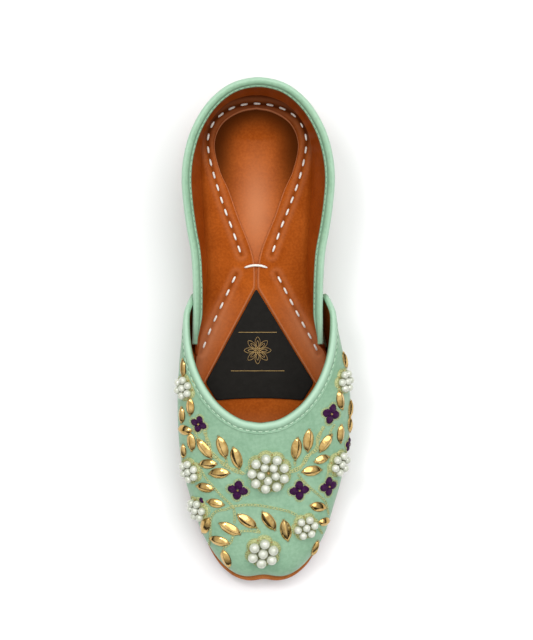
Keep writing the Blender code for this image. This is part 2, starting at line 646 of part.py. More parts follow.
def relief(name, tree, spot, turn, outline, rings, height):
    # Low solid laid over the upper: rings of its outline shrink to the middle, each as high as asked
    place, normal, lateral, rear = seat(tree, *spot)
    angle = math.radians(turn)
    across = lateral * math.cos(angle) + rear * math.sin(angle)
    beside = normal.cross(across)

    def lay(flat, lift):
        start = place + across * flat[0] + beside * flat[1]
        hit = tree.ray_cast(start + normal * DRAPE_REACH, -normal, 2.0 * DRAPE_REACH)[0]
        return (hit or tree.find_nearest(start)[0]) + normal * (ORNAMENT_SEAT + lift)

    count = len(outline)
    points = [lay(outline[k] * ring, height(outline[k] * ring, ring)) for ring in rings for k in range(count)]
    points.append(lay((0.0, 0.0), height(np.zeros(2), 0.0)))
    under = (1.0, 0.5)
    points += [lay(outline[k] * ring, 0.0) for ring in under for k in range(count)]
    points.append(lay((0.0, 0.0), 0.0))
    top = len(rings) * count
    low = top + 1
    bottom = low + len(under) * count
    faces = []
    for k in range(count):
        n = (k + 1) % count
        faces.append((low + k, low + n, n, k))
        for r in range(len(rings) - 1):
            faces.append((r * count + k, r * count + n, (r + 1) * count + n, (r + 1) * count + k))
        faces.append((top - count + k, top - count + n, top))
        for r in range(len(under) - 1):
            faces.append((low + r * count + n, low + r * count + k, low + (r + 1) * count + k,
                          low + (r + 1) * count + n))
        faces.append((bottom - count + n, bottom - count + k, bottom))
    return mesh_object(name, points, faces)


def circle(count):
    turn = np.arange(count) * 2.0 * math.pi / count
    return np.stack((np.cos(turn), np.sin(turn)), axis=-1)


def make_leaf(name, tree, row):
    # Pointed oval, domed along its middle
    half = LEAF_LENGTH / 2.0 * row.size
    ring = circle(8)
    width = np.sign(ring[:, 1]) * np.abs(ring[:, 1])**1.25
    outline = np.stack((ring[:, 0] * half, width * LEAF_WIDTH / 2.0), axis=-1)
    return relief(name, tree, (row.x, row.y), row.turn, outline, (1.0, 0.72),
                  lambda flat, ring: LEAF_HEIGHT * math.sqrt(1.0 - 0.9 * ring**2))


def make_pearl_flower(name, tree, row):
    # Pearls on a stitched pad, as one solid
    step = BALL_WIDTH / BALL_COUNT
    radius = row.pearl * step / 2.0
    centres = circle(row.count) * row.reach * step
    if row.inner > 1:
        centres = np.vstack((centres, circle(row.inner) * row.inner_reach * step))
    else:
        centres = np.vstack((centres, np.zeros(2)))

    def height(flat, ring):
        near = np.linalg.norm(centres - flat, axis=1).min() / radius
        return PAD_HEIGHT + (radius * (1.0 + math.sqrt(1.0 - near**2)) if near < 0.98 else 0.0)

    edge = row.reach * step + radius
    outline = circle(3 * row.count) * edge
    outline[1::3] *= 0.96
    outline[2::3] *= 0.96
    rings = (1.0, 1.0 - 0.5 * radius / edge, 1.0 - radius / edge, 1.0 - 1.6 * radius / edge, 0.22)
    return relief(name, tree, (row.x, row.y), 0.0, outline, rings, height)


def make_petal_flower(name, tree, row):
    # Four padded petals with notches between them
    ring = circle(16)
    reach = np.where(np.arange(16) % 4 == 2, 0.55, 1.0)
    outline = ring * reach[:, None] * PETAL_REACH * row.size
    return relief(name, tree, (row.x, row.y), row.turn, outline, (1.0, 0.6),
                  lambda flat, ring: PETAL_HEIGHT * (0.4 + 0.6 * math.sin(math.pi * min(ring, 0.5))))


def paint(item, colour, roughness, metallic=0.0):
    finish = bpy.data.materials.new(item.name)
    finish.use_nodes = True
    shader = finish.node_tree.nodes["Principled BSDF"]
    shader.inputs["Base Color"].default_value = (*colour, 1.0)
    shader.inputs["Roughness"].default_value = roughness
    shader.inputs["Metallic"].default_value = metallic
    item.data.materials.clear()
    item.data.materials.append(finish)


def settle():
    # The origin goes to the middle of the shoe's box, on the floor
    solids = [item for item in bpy.data.objects if item.type == "MESH"]
    corners = np.array([vertex.co[:] for item in solids for vertex in item.data.vertices])
    low, high = corners.min(axis=0), corners.max(axis=0)
    shift = Vector((-(low[0] + high[0]) / 2.0, -(low[1] + high[1]) / 2.0, -low[2]))
    for item in solids:
        item.data.transform(Matrix.Translation(shift))


MINT = (0.30, 0.54, 0.38)
LINING = (0.40, 0.13, 0.04)
SOLE_TAN = (0.30, 0.11, 0.03)
LABEL_BLACK = (0.012, 0.011, 0.010)
GOLD = (0.62, 0.36, 0.10)
PEARL = (0.90, 0.89, 0.86)
PURPLE = (0.06, 0.008, 0.07)


def build():
    clear_scene()
    paint(make_outsole(), SOLE_TAN, 0.6)
    paint(make_insole(), LINING, 0.5)
    paint(make_sock(), LINING, 0.5)
    paint(make_label(), LABEL_BLACK, 0.4)
    upper = make_wall("upper", vamp_surface, VAMP_RIBS // 2, VAMP_STEPS)
    combine(upper, make_wall("quarter", quarter_surface, QUARTER_RIBS // 2, QUARTER_STEPS), "UNION")
    paint(upper, MINT, 0.4)
    paint(make_binding("vamp_binding", vamp_surface, VAMP_RIBS // 2, VAMP_BINDING_FREE,
                       VAMP_TUCK_SHARE), MINT, 0.4)
    paint(make_binding("quarter_binding", quarter_surface, QUARTER_RIBS // 2,
                       QUARTER_BINDING_FREE, None), MINT, 0.4)
    tree = solid_tree(upper)
    for number, row in enumerate(LEAVES, 1):
        paint(make_leaf(f"leaf_{number:02d}", tree, row), GOLD, 0.25, 1.0)
    for number, row in enumerate(PEARL_FLOWERS, 1):
        paint(make_pearl_flower(f"pearl_flower_{number}", tree, row), PEARL, 0.2)
    for number, row in enumerate(PETAL_FLOWERS, 1):
        paint(make_petal_flower(f"petal_flower_{number}", tree, row), PURPLE, 0.5)
    settle()


build()
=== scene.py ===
# Mojari shoe for the left foot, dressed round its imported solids
# Metres; toe to -Y, lateral side to +X, floor at z = 0
import math

import bmesh
import bpy
import numpy as np
from mathutils import Matrix, Vector
from mathutils.bvhtree import BVHTree


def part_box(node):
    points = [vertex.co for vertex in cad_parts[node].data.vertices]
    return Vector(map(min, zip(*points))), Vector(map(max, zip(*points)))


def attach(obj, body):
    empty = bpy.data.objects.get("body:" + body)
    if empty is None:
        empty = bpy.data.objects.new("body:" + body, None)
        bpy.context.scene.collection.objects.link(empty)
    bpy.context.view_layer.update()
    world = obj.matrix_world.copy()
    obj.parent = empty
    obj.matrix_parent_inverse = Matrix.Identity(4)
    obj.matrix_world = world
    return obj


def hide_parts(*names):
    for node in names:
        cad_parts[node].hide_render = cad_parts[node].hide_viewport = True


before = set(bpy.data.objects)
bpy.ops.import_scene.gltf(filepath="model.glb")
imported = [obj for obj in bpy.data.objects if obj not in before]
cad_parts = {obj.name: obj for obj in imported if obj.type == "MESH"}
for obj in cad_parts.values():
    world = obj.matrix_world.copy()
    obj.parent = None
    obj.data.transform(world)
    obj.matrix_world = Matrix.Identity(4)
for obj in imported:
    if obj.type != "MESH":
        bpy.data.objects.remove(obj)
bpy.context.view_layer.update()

print("frame loaded:", len(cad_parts), "nodes")

# Camera, floor and light

view = {
    "eye": (-0.0421, 0.0060, 1.3000),   # straight above the pair, to the medial side of this shoe
    "aim": (0.0014, 0.0060, 0.0200),
    "lens": 144.6,
}
studio = {
    "floorSize": 12.0,
    "floorColour": (0.875, 0.865, 0.870),
    "floorRough": 0.9,
    "skyTop": (1.0, 1.0, 1.0),
    "skySide": (0.02, 0.02, 0.022),
    "skyRamp": (0.20, 0.80),
    "skyPower": 1.10,
    "sunPower": 1.28,
    "sunSpread": 50.0,                  # degrees
    "sunFrom": (0.26, 0.42, 1.0),
    "boxPower": 2.6,
    "boxFrom": (-0.36, 0.38, 1.05),
    "boxSize": 0.24,
}


def placeCamera(eye, aim, lens):
    # Looks from eye to aim with the heel at the top of the picture
    camera = bpy.data.objects.new("camera", bpy.data.cameras.new("camera"))
    bpy.context.scene.collection.objects.link(camera)
    back = (Vector(eye) - Vector(aim)).normalized()
    side = Vector((0.0, 1.0, 0.0)).cross(back).normalized()
    turn = Matrix((side, back.cross(side), back)).transposed()
    camera.matrix_world = Matrix.Translation(Vector(eye)) @ turn.to_4x4()
    camera.data.lens = lens
    bpy.context.scene.camera = camera


def aimedLamp(name, kind, power, source):
    # Lamp at source that points at the origin
    lamp = bpy.data.objects.new(name, bpy.data.lights.new(name, kind))
    bpy.context.scene.collection.objects.link(lamp)
    lamp.location = source
    lamp.rotation_euler = (-Vector(source)).to_track_quat("-Z", "Y").to_euler()
    lamp.data.energy = power
    return lamp.data


def twoTone(tree, source, places, colours):
    # Ramp of a value between two colours, each held beyond its place
    ramp = tree.nodes.new("ShaderNodeValToRGB")
    for end, place, colour in zip(ramp.color_ramp.elements, places, colours):
        end.position = place
        end.color = (*colour, 1.0)
    tree.links.new(source, ramp.inputs["Fac"])
    return ramp.outputs["Color"]


def makeStudio(sizes):
    # One broad soft sun, one soft box for the beads, and a sky that is paler above than at the sides
    sun = aimedLamp("softSun", "SUN", sizes["sunPower"], sizes["sunFrom"])
    sun.angle = math.radians(sizes["sunSpread"])
    box = aimedLamp("softBox", "AREA", sizes["boxPower"], sizes["boxFrom"])
    box.size = sizes["boxSize"]
    world = bpy.data.worlds.new("sky")
    world.use_nodes = True
    bpy.context.scene.world = world
    nodes, links = world.node_tree.nodes, world.node_tree.links
    split = nodes.new("ShaderNodeSeparateXYZ")
    links.new(nodes.new("ShaderNodeTexCoord").outputs["Generated"], split.inputs["Vector"])
    colour = twoTone(world.node_tree, split.outputs["Z"], sizes["skyRamp"],
                     (sizes["skySide"], sizes["skyTop"]))
    links.new(colour, nodes["Background"].inputs["Color"])
    nodes["Background"].inputs["Strength"].default_value = sizes["skyPower"]
    bpy.context.scene.view_settings.view_transform = "Standard"


def makeFloor(sizes):
    # Flat pale sheet under the shoe
    mesh = bpy.data.meshes.new("floor")
    half = sizes["floorSize"] / 2.0
    mesh.from_pydata([(-half, -half, 0), (half, -half, 0), (half, half, 0), (-half, half, 0)], [],
                     [(0, 1, 2, 3)])
    floor = bpy.data.objects.new("floor", mesh)
    bpy.context.scene.collection.objects.link(floor)
    paper = bpy.data.materials.new("paper")
    paper.use_nodes = True
    shader = paper.node_tree.nodes["Principled BSDF"]
    shader.inputs["Base Color"].default_value = (*sizes["floorColour"], 1.0)
    shader.inputs["Roughness"].default_value = sizes["floorRough"]
    mesh.materials.append(paper)


placeCamera(view["eye"], view["aim"], view["lens"])
makeStudio(studio)
makeFloor(studio)
print("camera and light placed")

# The last: the same lines and walls as the solids under them

last = {
    "soleLength": 0.2462, "ballWidth": 0.084, "heelWidth": 0.075, "heelSwing": 0.0038,
    "backHeight": 0.0505, "waistHeight": 0.0435, "throatHeight": 0.0475, "throatSide": 0.0425,
    "vampLength": 0.0802, "collarRound": 0.0492, "throatRound": 0.0526, "throatWidth": 0.0722,
    "heelOverhang": 0.00235, "soleThickness": 0.0040, "heelLift": 0.0055, "liftInset": 0.0007,
    "toeSpring": 0.0065, "heelRound": 0.0320, "toeNotch": 0.0010, "vampInset": 0.0011,
    "toeLedge": 0.0011, "quarterInset": 0.0026, "wall": 0.0018, "bindingWidth": 0.0036,
    "insoleThickness": 0.0020, "heelCrown": 0.0012, "crownLength": 0.13, "gap": 0.0003,
    "medialBelly": 0.62, "throatSwing": 0.0029, "collarDrop": 1.085, "springShare": 0.72,
    "liftShare": 0.265, "heelHalf": 0.407, "vampEnd": 0.452, "quarterEnd": 0.545,
    # shares of the length between which a measure changes over
    "swingFade": (0.40, 0.66), "widthFade": (0.25, 0.60), "liftFade": (0.26, 0.58),
    "ledgeFade": (0.90, 0.97), "throatFade": (0.05, 0.20),
}
heelY = last["soleLength"] / 2.0
toeY = -heelY

# share of the length, medial and lateral half widths as shares of the width there
soleRows = np.array((
    (1.0000, 0.080, 0.080), (0.9950, 0.150, 0.150), (0.9850, 0.203, 0.203), (0.9620, 0.272, 0.272),
    (0.9150, 0.348, 0.345), (0.8550, 0.403, 0.396), (0.7850, 0.456, 0.447), (0.7200, 0.466, 0.472),
    (0.6500, 0.459, 0.480), (0.5500, 0.416, 0.436), (0.4600, 0.374, 0.384), (0.3800, 0.355, 0.368),
    (0.2500, 0.392, 0.396),
))
# foot and head places of a rib, and its rise, belly, pull and dip
vampRows = np.array((
    (0.00, 0.00, 0.34, 0.022, 0.58, 0.56), (0.13, 0.09, 0.35, 0.038, 0.53, 0.53),
    (0.28, 0.19, 0.38, 0.065, 0.43, 0.46), (0.45, 0.33, 0.43, 0.085, 0.31, 0.34),
    (0.62, 0.50, 0.48, 0.085, 0.19, 0.25), (0.78, 0.68, 0.48, 0.068, 0.09, 0.24),
    (0.90, 0.86, 0.44, 0.034, 0.02, 0.28), (1.00, 1.00, 0.40, 0.016, 0.00, 0.30),
))
# Added to the fourth column near the toe: medial side, lateral side
toeFullness = np.array(((0.000, 0.060, 0.040, 0.010, 0.0, 0.0, 0.0, 0.0),
                        (0.000, 0.022, 0.012, 0.000, 0.0, 0.0, 0.0, 0.0)))
quarterRows = np.array((
    (0.00, 0.00, 0.36, 0.055, 0.004, 0.30), (0.20, 0.20, 0.36, 0.055, 0.004, 0.30),
    (0.40, 0.40, 0.36, 0.050, 0.000, 0.30), (0.60, 0.60, 0.38, 0.045, 0.000, 0.30),
    (0.80, 0.80, 0.40, 0.045, 0.000, 0.30), (1.00, 1.00, 0.40, 0.045, 0.000, 0.30),
))
# distance in front of the round back, half width and height, as shares
collarRows = ((0.050, 0.476, 1.045), (0.098, 0.458, 1.015), (0.145, 0.438, 1.000),
              (0.195, 0.432, 0.985), (0.243, 0.429, 0.940), (0.290, 0.432, 0.860),
              (0.328, 0.436, 0.740))
earRows = ((0.012, 0.494, 0.985), (0.028, 0.475, 0.925), (0.040, 0.458, 0.835),
           (0.045, 0.451, 0.720))


def fade(low, high, value):
    # Eases from 0 at low to 1 at high
    share = np.clip((value - low) / (high - low), 0.0, 1.0)
    return share * share * (3.0 - 2.0 * share)


def evenly(count):
    # Even shares from 0 to 1
    return np.linspace(0.0, 1.0, count)


def anglesOf(count):
    # Even angles round a circle
    return np.arange(count) * 2.0 * math.pi / count


def unit(vectors):
    # Each row divided by its length
    return vectors / np.linalg.norm(vectors, axis=-1, keepdims=True)


def spline(points, count):
    # Cubic Hermite curve through the points; its pace is the square root of each chord
    points = np.asarray(points, float)
    ring = np.vstack((2.0 * points[:1] - points[1:2], points, 2.0 * points[-1:] - points[-2:-1]))
    pace = np.cumsum(np.r_[0.0, np.sqrt(np.linalg.norm(np.diff(ring, axis=0), axis=1))])
    slope = np.diff(ring, axis=0) / np.diff(pace)[:, None]
    left, right = np.diff(pace)[:-1, None], np.diff(pace)[1:, None]
    tangent = (slope[:-1] * right + slope[1:] * left) / (left + right)
    knots = pace[1:-1]
    at = np.linspace(knots[0], knots[-1], count)
    part = np.clip(np.searchsorted(knots, at, side="right") - 1, 0, len(knots) - 2)
    width = (knots[part + 1] - knots[part])[:, None]
    t = (at - knots[part])[:, None] / width
    return ((2 * t**3 - 3 * t**2 + 1) * points[part] + (t**3 - 2 * t**2 + t) * width * tangent[part]
            + (3 * t**2 - 2 * t**3) * points[part + 1] + (t**3 - t**2) * width * tangent[part + 1])


def reachAlong(curve, axes=2):
    # Distance run along a polyline, measured in its first columns
    return np.r_[0.0, np.cumsum(np.linalg.norm(np.diff(curve[:, :axes], axis=0), axis=1))]


def readCurve(curve, reach, at):
    # Rows of a polyline at distances along it
    return np.stack([np.interp(at, reach, column) for column in curve.T], axis=-1)


def along(curve, shares, axes=2):
    # Rows of a polyline at shares of its length
    reach = reachAlong(curve, axes)
    return readCurve(curve, reach, np.asarray(shares, float) * reach[-1])


def rowBlend(rows, column, shares):
    # Smooth reading of one column of a table against its first column
    curve = spline(rows[:, (0, column)], 400)
    return np.interp(shares, curve[:, 0], curve[:, 1])


def shareOf(y):
    # Share of the sole's length, from the heel
    return (heelY - y) / last["soleLength"]


def middleX(share):
    return -last["heelSwing"] * (1.0 - fade(*last["swingFade"], share))


def widthAt(share):
    mix = fade(*last["widthFade"], share)
    return last["heelWidth"] * (1.0 - mix) + last["ballWidth"] * mix


def soleUnder(share):
    # Underside of the sole's sheet: raised on the lift, flat at the ball, sprung at the toe as late^2
    lift = last["heelLift"] * (1.0 - fade(*last["liftFade"], share))
    late = np.clip((share - last["springShare"]) / (1.0 - last["springShare"]), 0.0, None)
    return lift + last["toeSpring"] * late**2


def soleTop(share):
    return soleUnder(share) + last["soleThickness"]


def soleSide(side):
    # Half of the sole's edge from the toe's middle to the heel's
    shares = soleRows[:, 0]
    half = soleRows[:, 1] if side < 0 else soleRows[:, 2]
    rows = np.stack((middleX(shares) + side * half * widthAt(shares),
                     heelY - shares * last["soleLength"]), axis=-1)
    turn = np.radians((90.0, 65.0, 40.0, 18.0, 0.0))
    back = np.stack((-last["heelSwing"] + side * last["heelHalf"] * last["heelWidth"] * np.sin(turn),
                     heelY - last["heelRound"] * (1.0 - np.cos(turn))), axis=-1)
    return spline(np.vstack(((0.0, toeY + last["toeNotch"]), rows, back)), 700)


def awayFrom(curve, middle):
    # Level normals of a curve, pointing away from a middle point
    run = unit(np.gradient(curve[:, :2], axis=0))
    normal = np.stack([run[:, 1], -run[:, 0]], axis=-1)
    turn = np.sign(((curve[:, :2] - middle) * normal).sum(axis=1))
    return normal * turn[:, None]


def footSide(side, inset, ledge=0.0):
    # Line inside the sole's edge, edge - out * inset, with more room at the toe, and its outward normals
    curve = soleSide(side)
    out = awayFrom(curve, (-last["heelSwing"] / 2.0, 0.0))
    more = ledge * fade(*last["ledgeFade"], shareOf(curve[:, 1]))
    moved = curve - out * (inset + more)[:, None]
    moved[0, 0], moved[-1, 0] = curve[0, 0], curve[-1, 0]
    return moved, out


def softened(ring, times):
    # Closed line, each point replaced by (before + 2 point + after) / 4, several times
    for _ in range(times):
        ring = (np.roll(ring, 1, axis=0) + 2.0 * ring + np.roll(ring, -1, axis=0)) / 4.0
    return ring


def closedEdge(inset, count):
    # Closed line inside the sole's edge, evenly divided, from the toe round by the medial side
    medial, lateral = footSide(-1, inset)[0], footSide(1, inset)[0]
    ring = along(np.vstack((medial, lateral[::-1][1:])), evenly(count + 1)[:-1])
    return softened(ring, 4)


def throatSide(side):
    # Vamp's topline from the throat's middle to the end of the ear
    fore = toeY + last["vampLength"]
    turn = np.radians((0.0, 15.0, 30.0, 45.0, 60.0, 75.0, 90.0))
    swing, width, deep = last["throatSwing"], last["throatWidth"], last["throatRound"]
    level = last["throatSide"] + (last["throatHeight"] - last["throatSide"]) * np.cos(turn)**1.5
    front = np.stack((-swing + side * width / 2.0 * np.sin(turn),
                      fore + deep * (1.0 - np.cos(turn)), level), axis=-1)
    ears = [(-swing + side * half * width, fore + deep + behind * last["soleLength"],
             height * last["throatSide"]) for behind, half, height in earRows]
    line = spline(np.vstack((front, ears)), 500)
    return line, awayFrom(line, (-swing, fore + deep * 1.6))


def collarSide(side):
    # Quarter's topline from the back's middle to its end inside the vamp
    swing, deep = last["heelSwing"], last["collarRound"]
    half = (last["heelWidth"] - (last["bindingWidth"] - last["wall"])) / 2.0
    back = heelY + last["heelOverhang"]
    waist = last["waistHeight"] * last["collarDrop"]
    turn = np.radians((0.0, 20.0, 40.0, 60.0, 77.0, 90.0))
    rear = np.stack((-swing + side * half * np.sin(turn), back - deep * (1.0 - np.cos(turn)),
                     waist + (last["backHeight"] - waist) * np.maximum(np.cos(turn), 0.0)**1.3),
                    axis=-1)
    fore = []
    for ahead, wide, height in collarRows:
        width = last["heelWidth"] + (last["throatWidth"] - last["heelWidth"]) \
            * fade(*last["throatFade"], ahead)
        fore.append((-swing + side * wide * width, back - deep - ahead * last["soleLength"],
                     height * last["waistHeight"]))
    line = spline(np.vstack((rear, fore)), 500)
    return line, awayFrom(line, (-swing, back - deep * 1.5))


def ribHalf(edge, line, rows, sizes, places, steps):
    # Cubic Bezier ribs from the foot line to the topline:
    # (1-t)^3 foot + 3 (1-t)^2 t first + 3 (1-t) t^2 second + t^3 head
    flat = along(np.hstack(edge), places)
    feet = np.column_stack((flat[:, :2], soleTop(shareOf(flat[:, 1])) + last["gap"]))
    tops = along(np.hstack(line), rowBlend(rows, 1, places), axes=3)
    heads = tops[:, :3]
    rise, belly, pull, dip = (rowBlend(rows, column, places)[:, None] for column in (2, 3, 4, 5))
    level = np.zeros((len(places), 1))
    height = np.column_stack((level, level, heads[:, 2] - feet[:, 2]))
    first = feet + np.hstack((flat[:, 2:] * belly * sizes[0], level)) + height * rise
    second = heads + np.hstack((tops[:, 3:] * pull * sizes[1], level)) - height * dip
    t = np.asarray(steps)[None, :, None]
    return ((1 - t)**3 * feet[:, None] + 3 * (1 - t)**2 * t * first[:, None]
            + 3 * (1 - t) * t**2 * second[:, None] + t**3 * heads[:, None])


def vampHalf(side, places, steps):
    # Vamp's outer surface on one side, from the toe's middle (0) to the rear edge (1)
    curve, out = footSide(side, last["vampInset"], last["toeLedge"])
    keep = shareOf(curve[:, 1]) >= last["vampEnd"]
    fullness = last["ballWidth"] * (last["medialBelly"] if side < 0 else 1.0)
    rows = vampRows.copy()
    rows[:, 3] += toeFullness[0 if side < 0 else 1]
    return ribHalf((curve[keep], out[keep]), throatSide(side), rows,
                   (fullness, last["vampLength"]), places, steps)


def quarterHalf(side, places, steps):
    # Quarter's outer surface on one side, from the back's middle (0) to the front edge (1)
    curve, out = footSide(side, last["quarterInset"])
    keep = shareOf(curve[:, 1]) <= last["quarterEnd"]
    return ribHalf((curve[keep][::-1], out[keep][::-1]), collarSide(side), quarterRows,
                   (last["ballWidth"], last["ballWidth"]), places, steps)


evening = {"reach": 0.13, "ribs": 73.0}


def evened(grid):
    # Each rib moved halfway to the mean of its neighbours, oftener on a finer grid
    grid = grid.copy()
    for _ in range(int(2.0 * (len(grid) / evening["ribs"])**2)):
        grid[1:-1] += 0.5 * ((grid[:-2] + grid[2:]) / 2.0 - grid[1:-1])
    return grid


def wholeWall(half, places, steps):
    # Both sides in one grid, medial end first. Near the middle the ribs are evened as 2 G - G G,
    # which takes out a kink and keeps the round form.
    grid = np.concatenate((half(-1, places, steps)[:0:-1], half(1, places, steps)))
    weight = np.exp(-(np.linspace(-1.0, 1.0, len(grid)) / evening["reach"])**4)[:, None, None]
    once = evened(grid)
    return grid + weight * (2.0 * once - evened(once) - grid)


def wallNormals(grid):
    # Outward normals: cross product of the grid's two slopes
    normal = unit(np.cross(np.gradient(grid, axis=0), np.gradient(grid, axis=1)))
    outer = grid - np.array((-last["heelSwing"] / 2.0, 0.0, 0.0))
    facing = np.sign((normal[:, :2] * outer[:, :2] * (1.0, 1.0, 0.2)).sum(axis=(1, 2)))
    return normal * facing[:, None, None]


def readRibs(grid, places):
    # Points of each rib at its own places from 0 to 1, between the grid's steps
    end = grid.shape[1] - 1
    low = np.clip((places * end).astype(int), 0, end - 1)
    part = (places * end - low)[..., None]
    rib = np.arange(len(grid))[:, None]
    return grid[rib, low] * (1.0 - part) + grid[rib, low + 1] * part


def placeBelow(grid, drops):
    # Places on each rib that lie given lengths below the topline
    pace = np.linalg.norm(grid[:, -1] - grid[:, -3], axis=1) / 2.0 * (grid.shape[1] - 1)
    return 1.0 - np.asarray(drops)[None, :] / pace[:, None]


def footbedTop(x, y):
    # Footbed's face: the sole's top and the insole, crowned under the heel as exp(-2 r^2)
    across = (x + last["heelSwing"]) / (last["heelWidth"] * last["heelHalf"])
    lengthwise = (shareOf(y) - last["heelRound"] / last["soleLength"]) / last["crownLength"]
    crown = last["heelCrown"] * np.exp(-2.0 * (across**2 + lengthwise**2))
    return soleTop(shareOf(y)) + last["gap"] + last["insoleThickness"] + crown


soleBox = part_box("outsole")
lateralEdge = soleSide(1)
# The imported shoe's origin is the middle of its box; this is the way there from the last's own frame
settle = np.array((soleBox[1].x - lateralEdge[:, 0].max(), soleBox[1].y - heelY, 0.0))
print("last drawn, settled by", np.round(settle * 1000, 2), "mm")

# Mesh helpers


def gridQuads(rows, columns, wrapRows=False, wrapColumns=False):
    # Four corners of each cell of a grid, joined round where it closes on itself
    index = np.arange(rows * columns).reshape(rows, columns)
    if wrapRows:
        index = np.vstack((index, index[:1]))
    if wrapColumns:
        index = np.hstack((index, index[:, :1]))
    return np.stack((index[:-1, :-1], index[1:, :-1], index[1:, 1:], index[:-1, 1:]),
                    axis=-1).reshape(-1, 4)


def repeatQuads(quads, count, size):
    # The same cells for each of several equal shapes, size points apart
    return (quads[None] + np.arange(count)[:, None, None] * size).reshape(-1, 4)


def tube(grid):
    # Points and cells of a grid that closes round its columns
    return grid.reshape(-1, 3), gridQuads(*grid.shape[:2], wrapColumns=True)


def shell(outer, inner):
    # Closed wall of two grids: outer cells, inner cells turned round, and the rim between them
    cells = gridQuads(*outer.shape[:2])
    size = outer[..., 0].size
    index = np.arange(size).reshape(outer.shape[:2])
    rim = np.r_[index[0, :-1], index[:-1, -1], index[-1, :0:-1], index[:0:-1, 0]]
    ahead = np.roll(rim, -1)
    walls = np.stack((ahead, rim, rim + size, ahead + size), -1)
    return (np.stack((outer, inner)).reshape(-1, 3),
            np.vstack((cells, cells[:, ::-1] + size, walls)))


def addPiece(name, points, quads, finish, slotName, nodes=(), marks=None, weld=False):
    # One closed mesh in the settled frame. Its faces are turned out by the sign of its volume.
    points = np.asarray(points, float).reshape(-1, 3) + settle
    centred = points - points.mean(axis=0)
    a, b, c, d = (centred[quads[:, k]] for k in range(4))
    volume = (a * (np.cross(b, c) + np.cross(c, d))).sum()
    if volume < 0.0:
        quads = quads[:, ::-1]
    mesh = bpy.data.meshes.new(name)
    mesh.vertices.add(len(points))
    mesh.vertices.foreach_set("co", points.ravel())
    mesh.loops.add(quads.size)
    mesh.loops.foreach_set("vertex_index", quads.ravel().astype(np.int32))
    mesh.polygons.add(len(quads))
    mesh.polygons.foreach_set("loop_start", np.arange(len(quads), dtype=np.int32) * 4)
    mesh.update(calc_edges=True)
    for mark, values in (marks or {}).items():
        mesh.attributes.new(mark, "FLOAT", "POINT").data.foreach_set(
            "value", np.asarray(values, np.float32).ravel())
    if weld:
        joined = bmesh.new()
        joined.from_mesh(mesh)
        bmesh.ops.remove_doubles(joined, verts=joined.verts, dist=2e-6)
        joined.to_mesh(mesh)
        joined.free()
    mesh.polygons.foreach_set("use_smooth", np.ones(len(mesh.polygons), bool))
    mesh.validate()
    mesh.materials.append(finish)
    piece = bpy.data.objects.new(name, mesh)
    bpy.context.scene.collection.objects.link(piece)
    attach(piece, "root")
    if nodes:
        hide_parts(*nodes)
    return piece


def plate(ring, rim, spine, inner, top, under):
    # Closed plate: rim rows (inset, share of the thickness), then rings that shrink to the spine,
    # point = spine + (ring - spine) * share, above and below
    out = awayFrom(np.vstack((ring, ring[:1])), ring.mean(axis=0))[:-1]
    out = (out + np.roll(out, 1, axis=0) + np.roll(out, -1, axis=0)) / 3.0
    rows = []

    def row(flat, high):
        low = under(flat[:, 0], flat[:, 1])
        rows.append(np.column_stack((flat, low + (top(flat[:, 0], flat[:, 1]) - low) * high)))

    edges = [(ring - out * inset, high) for inset, high in rim]
    foot, head = edges[0][0], edges[-1][0]
    for share in inner:
        row(spine + (foot - spine) * share, 0.0)
    for flat, high in edges:
        row(flat, high)
    for share in inner[::-1]:
        row(spine + (head - spine) * share, 1.0)
    return tube(np.stack(rows))


def roundedRim(radius, thickness, steps=5):
    # Rim rows of a plate with quarter rounds at both corners, from the underside up
    turn = np.linspace(0.0, math.pi / 2.0, steps)
    low = [(radius * (1.0 - math.sin(a)), radius * (1.0 - math.cos(a)) / thickness) for a in turn]
    return low + [(inset, 1.0 - high) for inset, high in low[::-1]]


def stitches(starts, ends, normals, radius, rise, steps=7, around=6, flatten=0.7):
    # Threads lying on a surface: start + (end - start) t + normal rise sin(pi t), tapered to both ends
    t = evenly(steps)[None, :, None, None]
    turn = anglesOf(around)[None, None, :, None]
    run = (ends - starts)[:, None, None]
    side = unit(np.cross(normals, ends - starts))[:, None, None]
    lift = normals[:, None, None]
    swell = radius * (1.0 - np.abs(2.0 * t - 1.0)**4)**0.5
    points = (starts[:, None, None] + run * t + lift * rise * np.sin(math.pi * t)
              + (side * np.cos(turn) + lift * flatten * np.sin(turn)) * swell)
    quads = repeatQuads(gridQuads(steps, around, wrapColumns=True), len(starts), steps * around)
    return points.reshape(-1, 3), quads


def runOfStitches(path, normals, length, space, first=0.0):
    # Ends of equal stitches laid one after another along a path
    reach = reachAlong(path, 3)
    count = int((reach[-1] - first) / (length + space))
    step = (reach[-1] - first) / max(count, 1)
    begin = first + np.arange(count) * step + space / 2.0
    both = np.hstack((path, normals))
    starts, middles, ends = (readCurve(both, reach, begin + length * part) for part in (0.0, 0.5, 1.0))
    return starts[:, :3], ends[:, :3], unit(middles[:, 3:])


def chainLinks(centres, runs, normals, long, wide, thread, around=10, section=4):
    # Chain-stitch loops: centre + run long/2 cos a + side wide/2 sin a, with a thin round section
    a = anglesOf(around)[None, :, None, None]
    b = anglesOf(section)[None, None, :, None]
    runs = unit(runs)
    side = unit(np.cross(normals, runs))[:, None, None]
    run, lift = runs[:, None, None], normals[:, None, None]
    out = run * np.cos(a) + side * np.sin(a) * 0.8
    path = centres[:, None, None] + run * (long / 2.0) * np.cos(a) + side * (wide / 2.0) * np.sin(a)
    path = path + lift * thread * (0.7 - 0.5 * np.cos(a))
    points = path + (out * np.cos(b) + lift * np.sin(b)) * thread
    quads = repeatQuads(gridQuads(around, section, True, True), len(centres), around * section)
    return points.reshape(-1, 3), quads


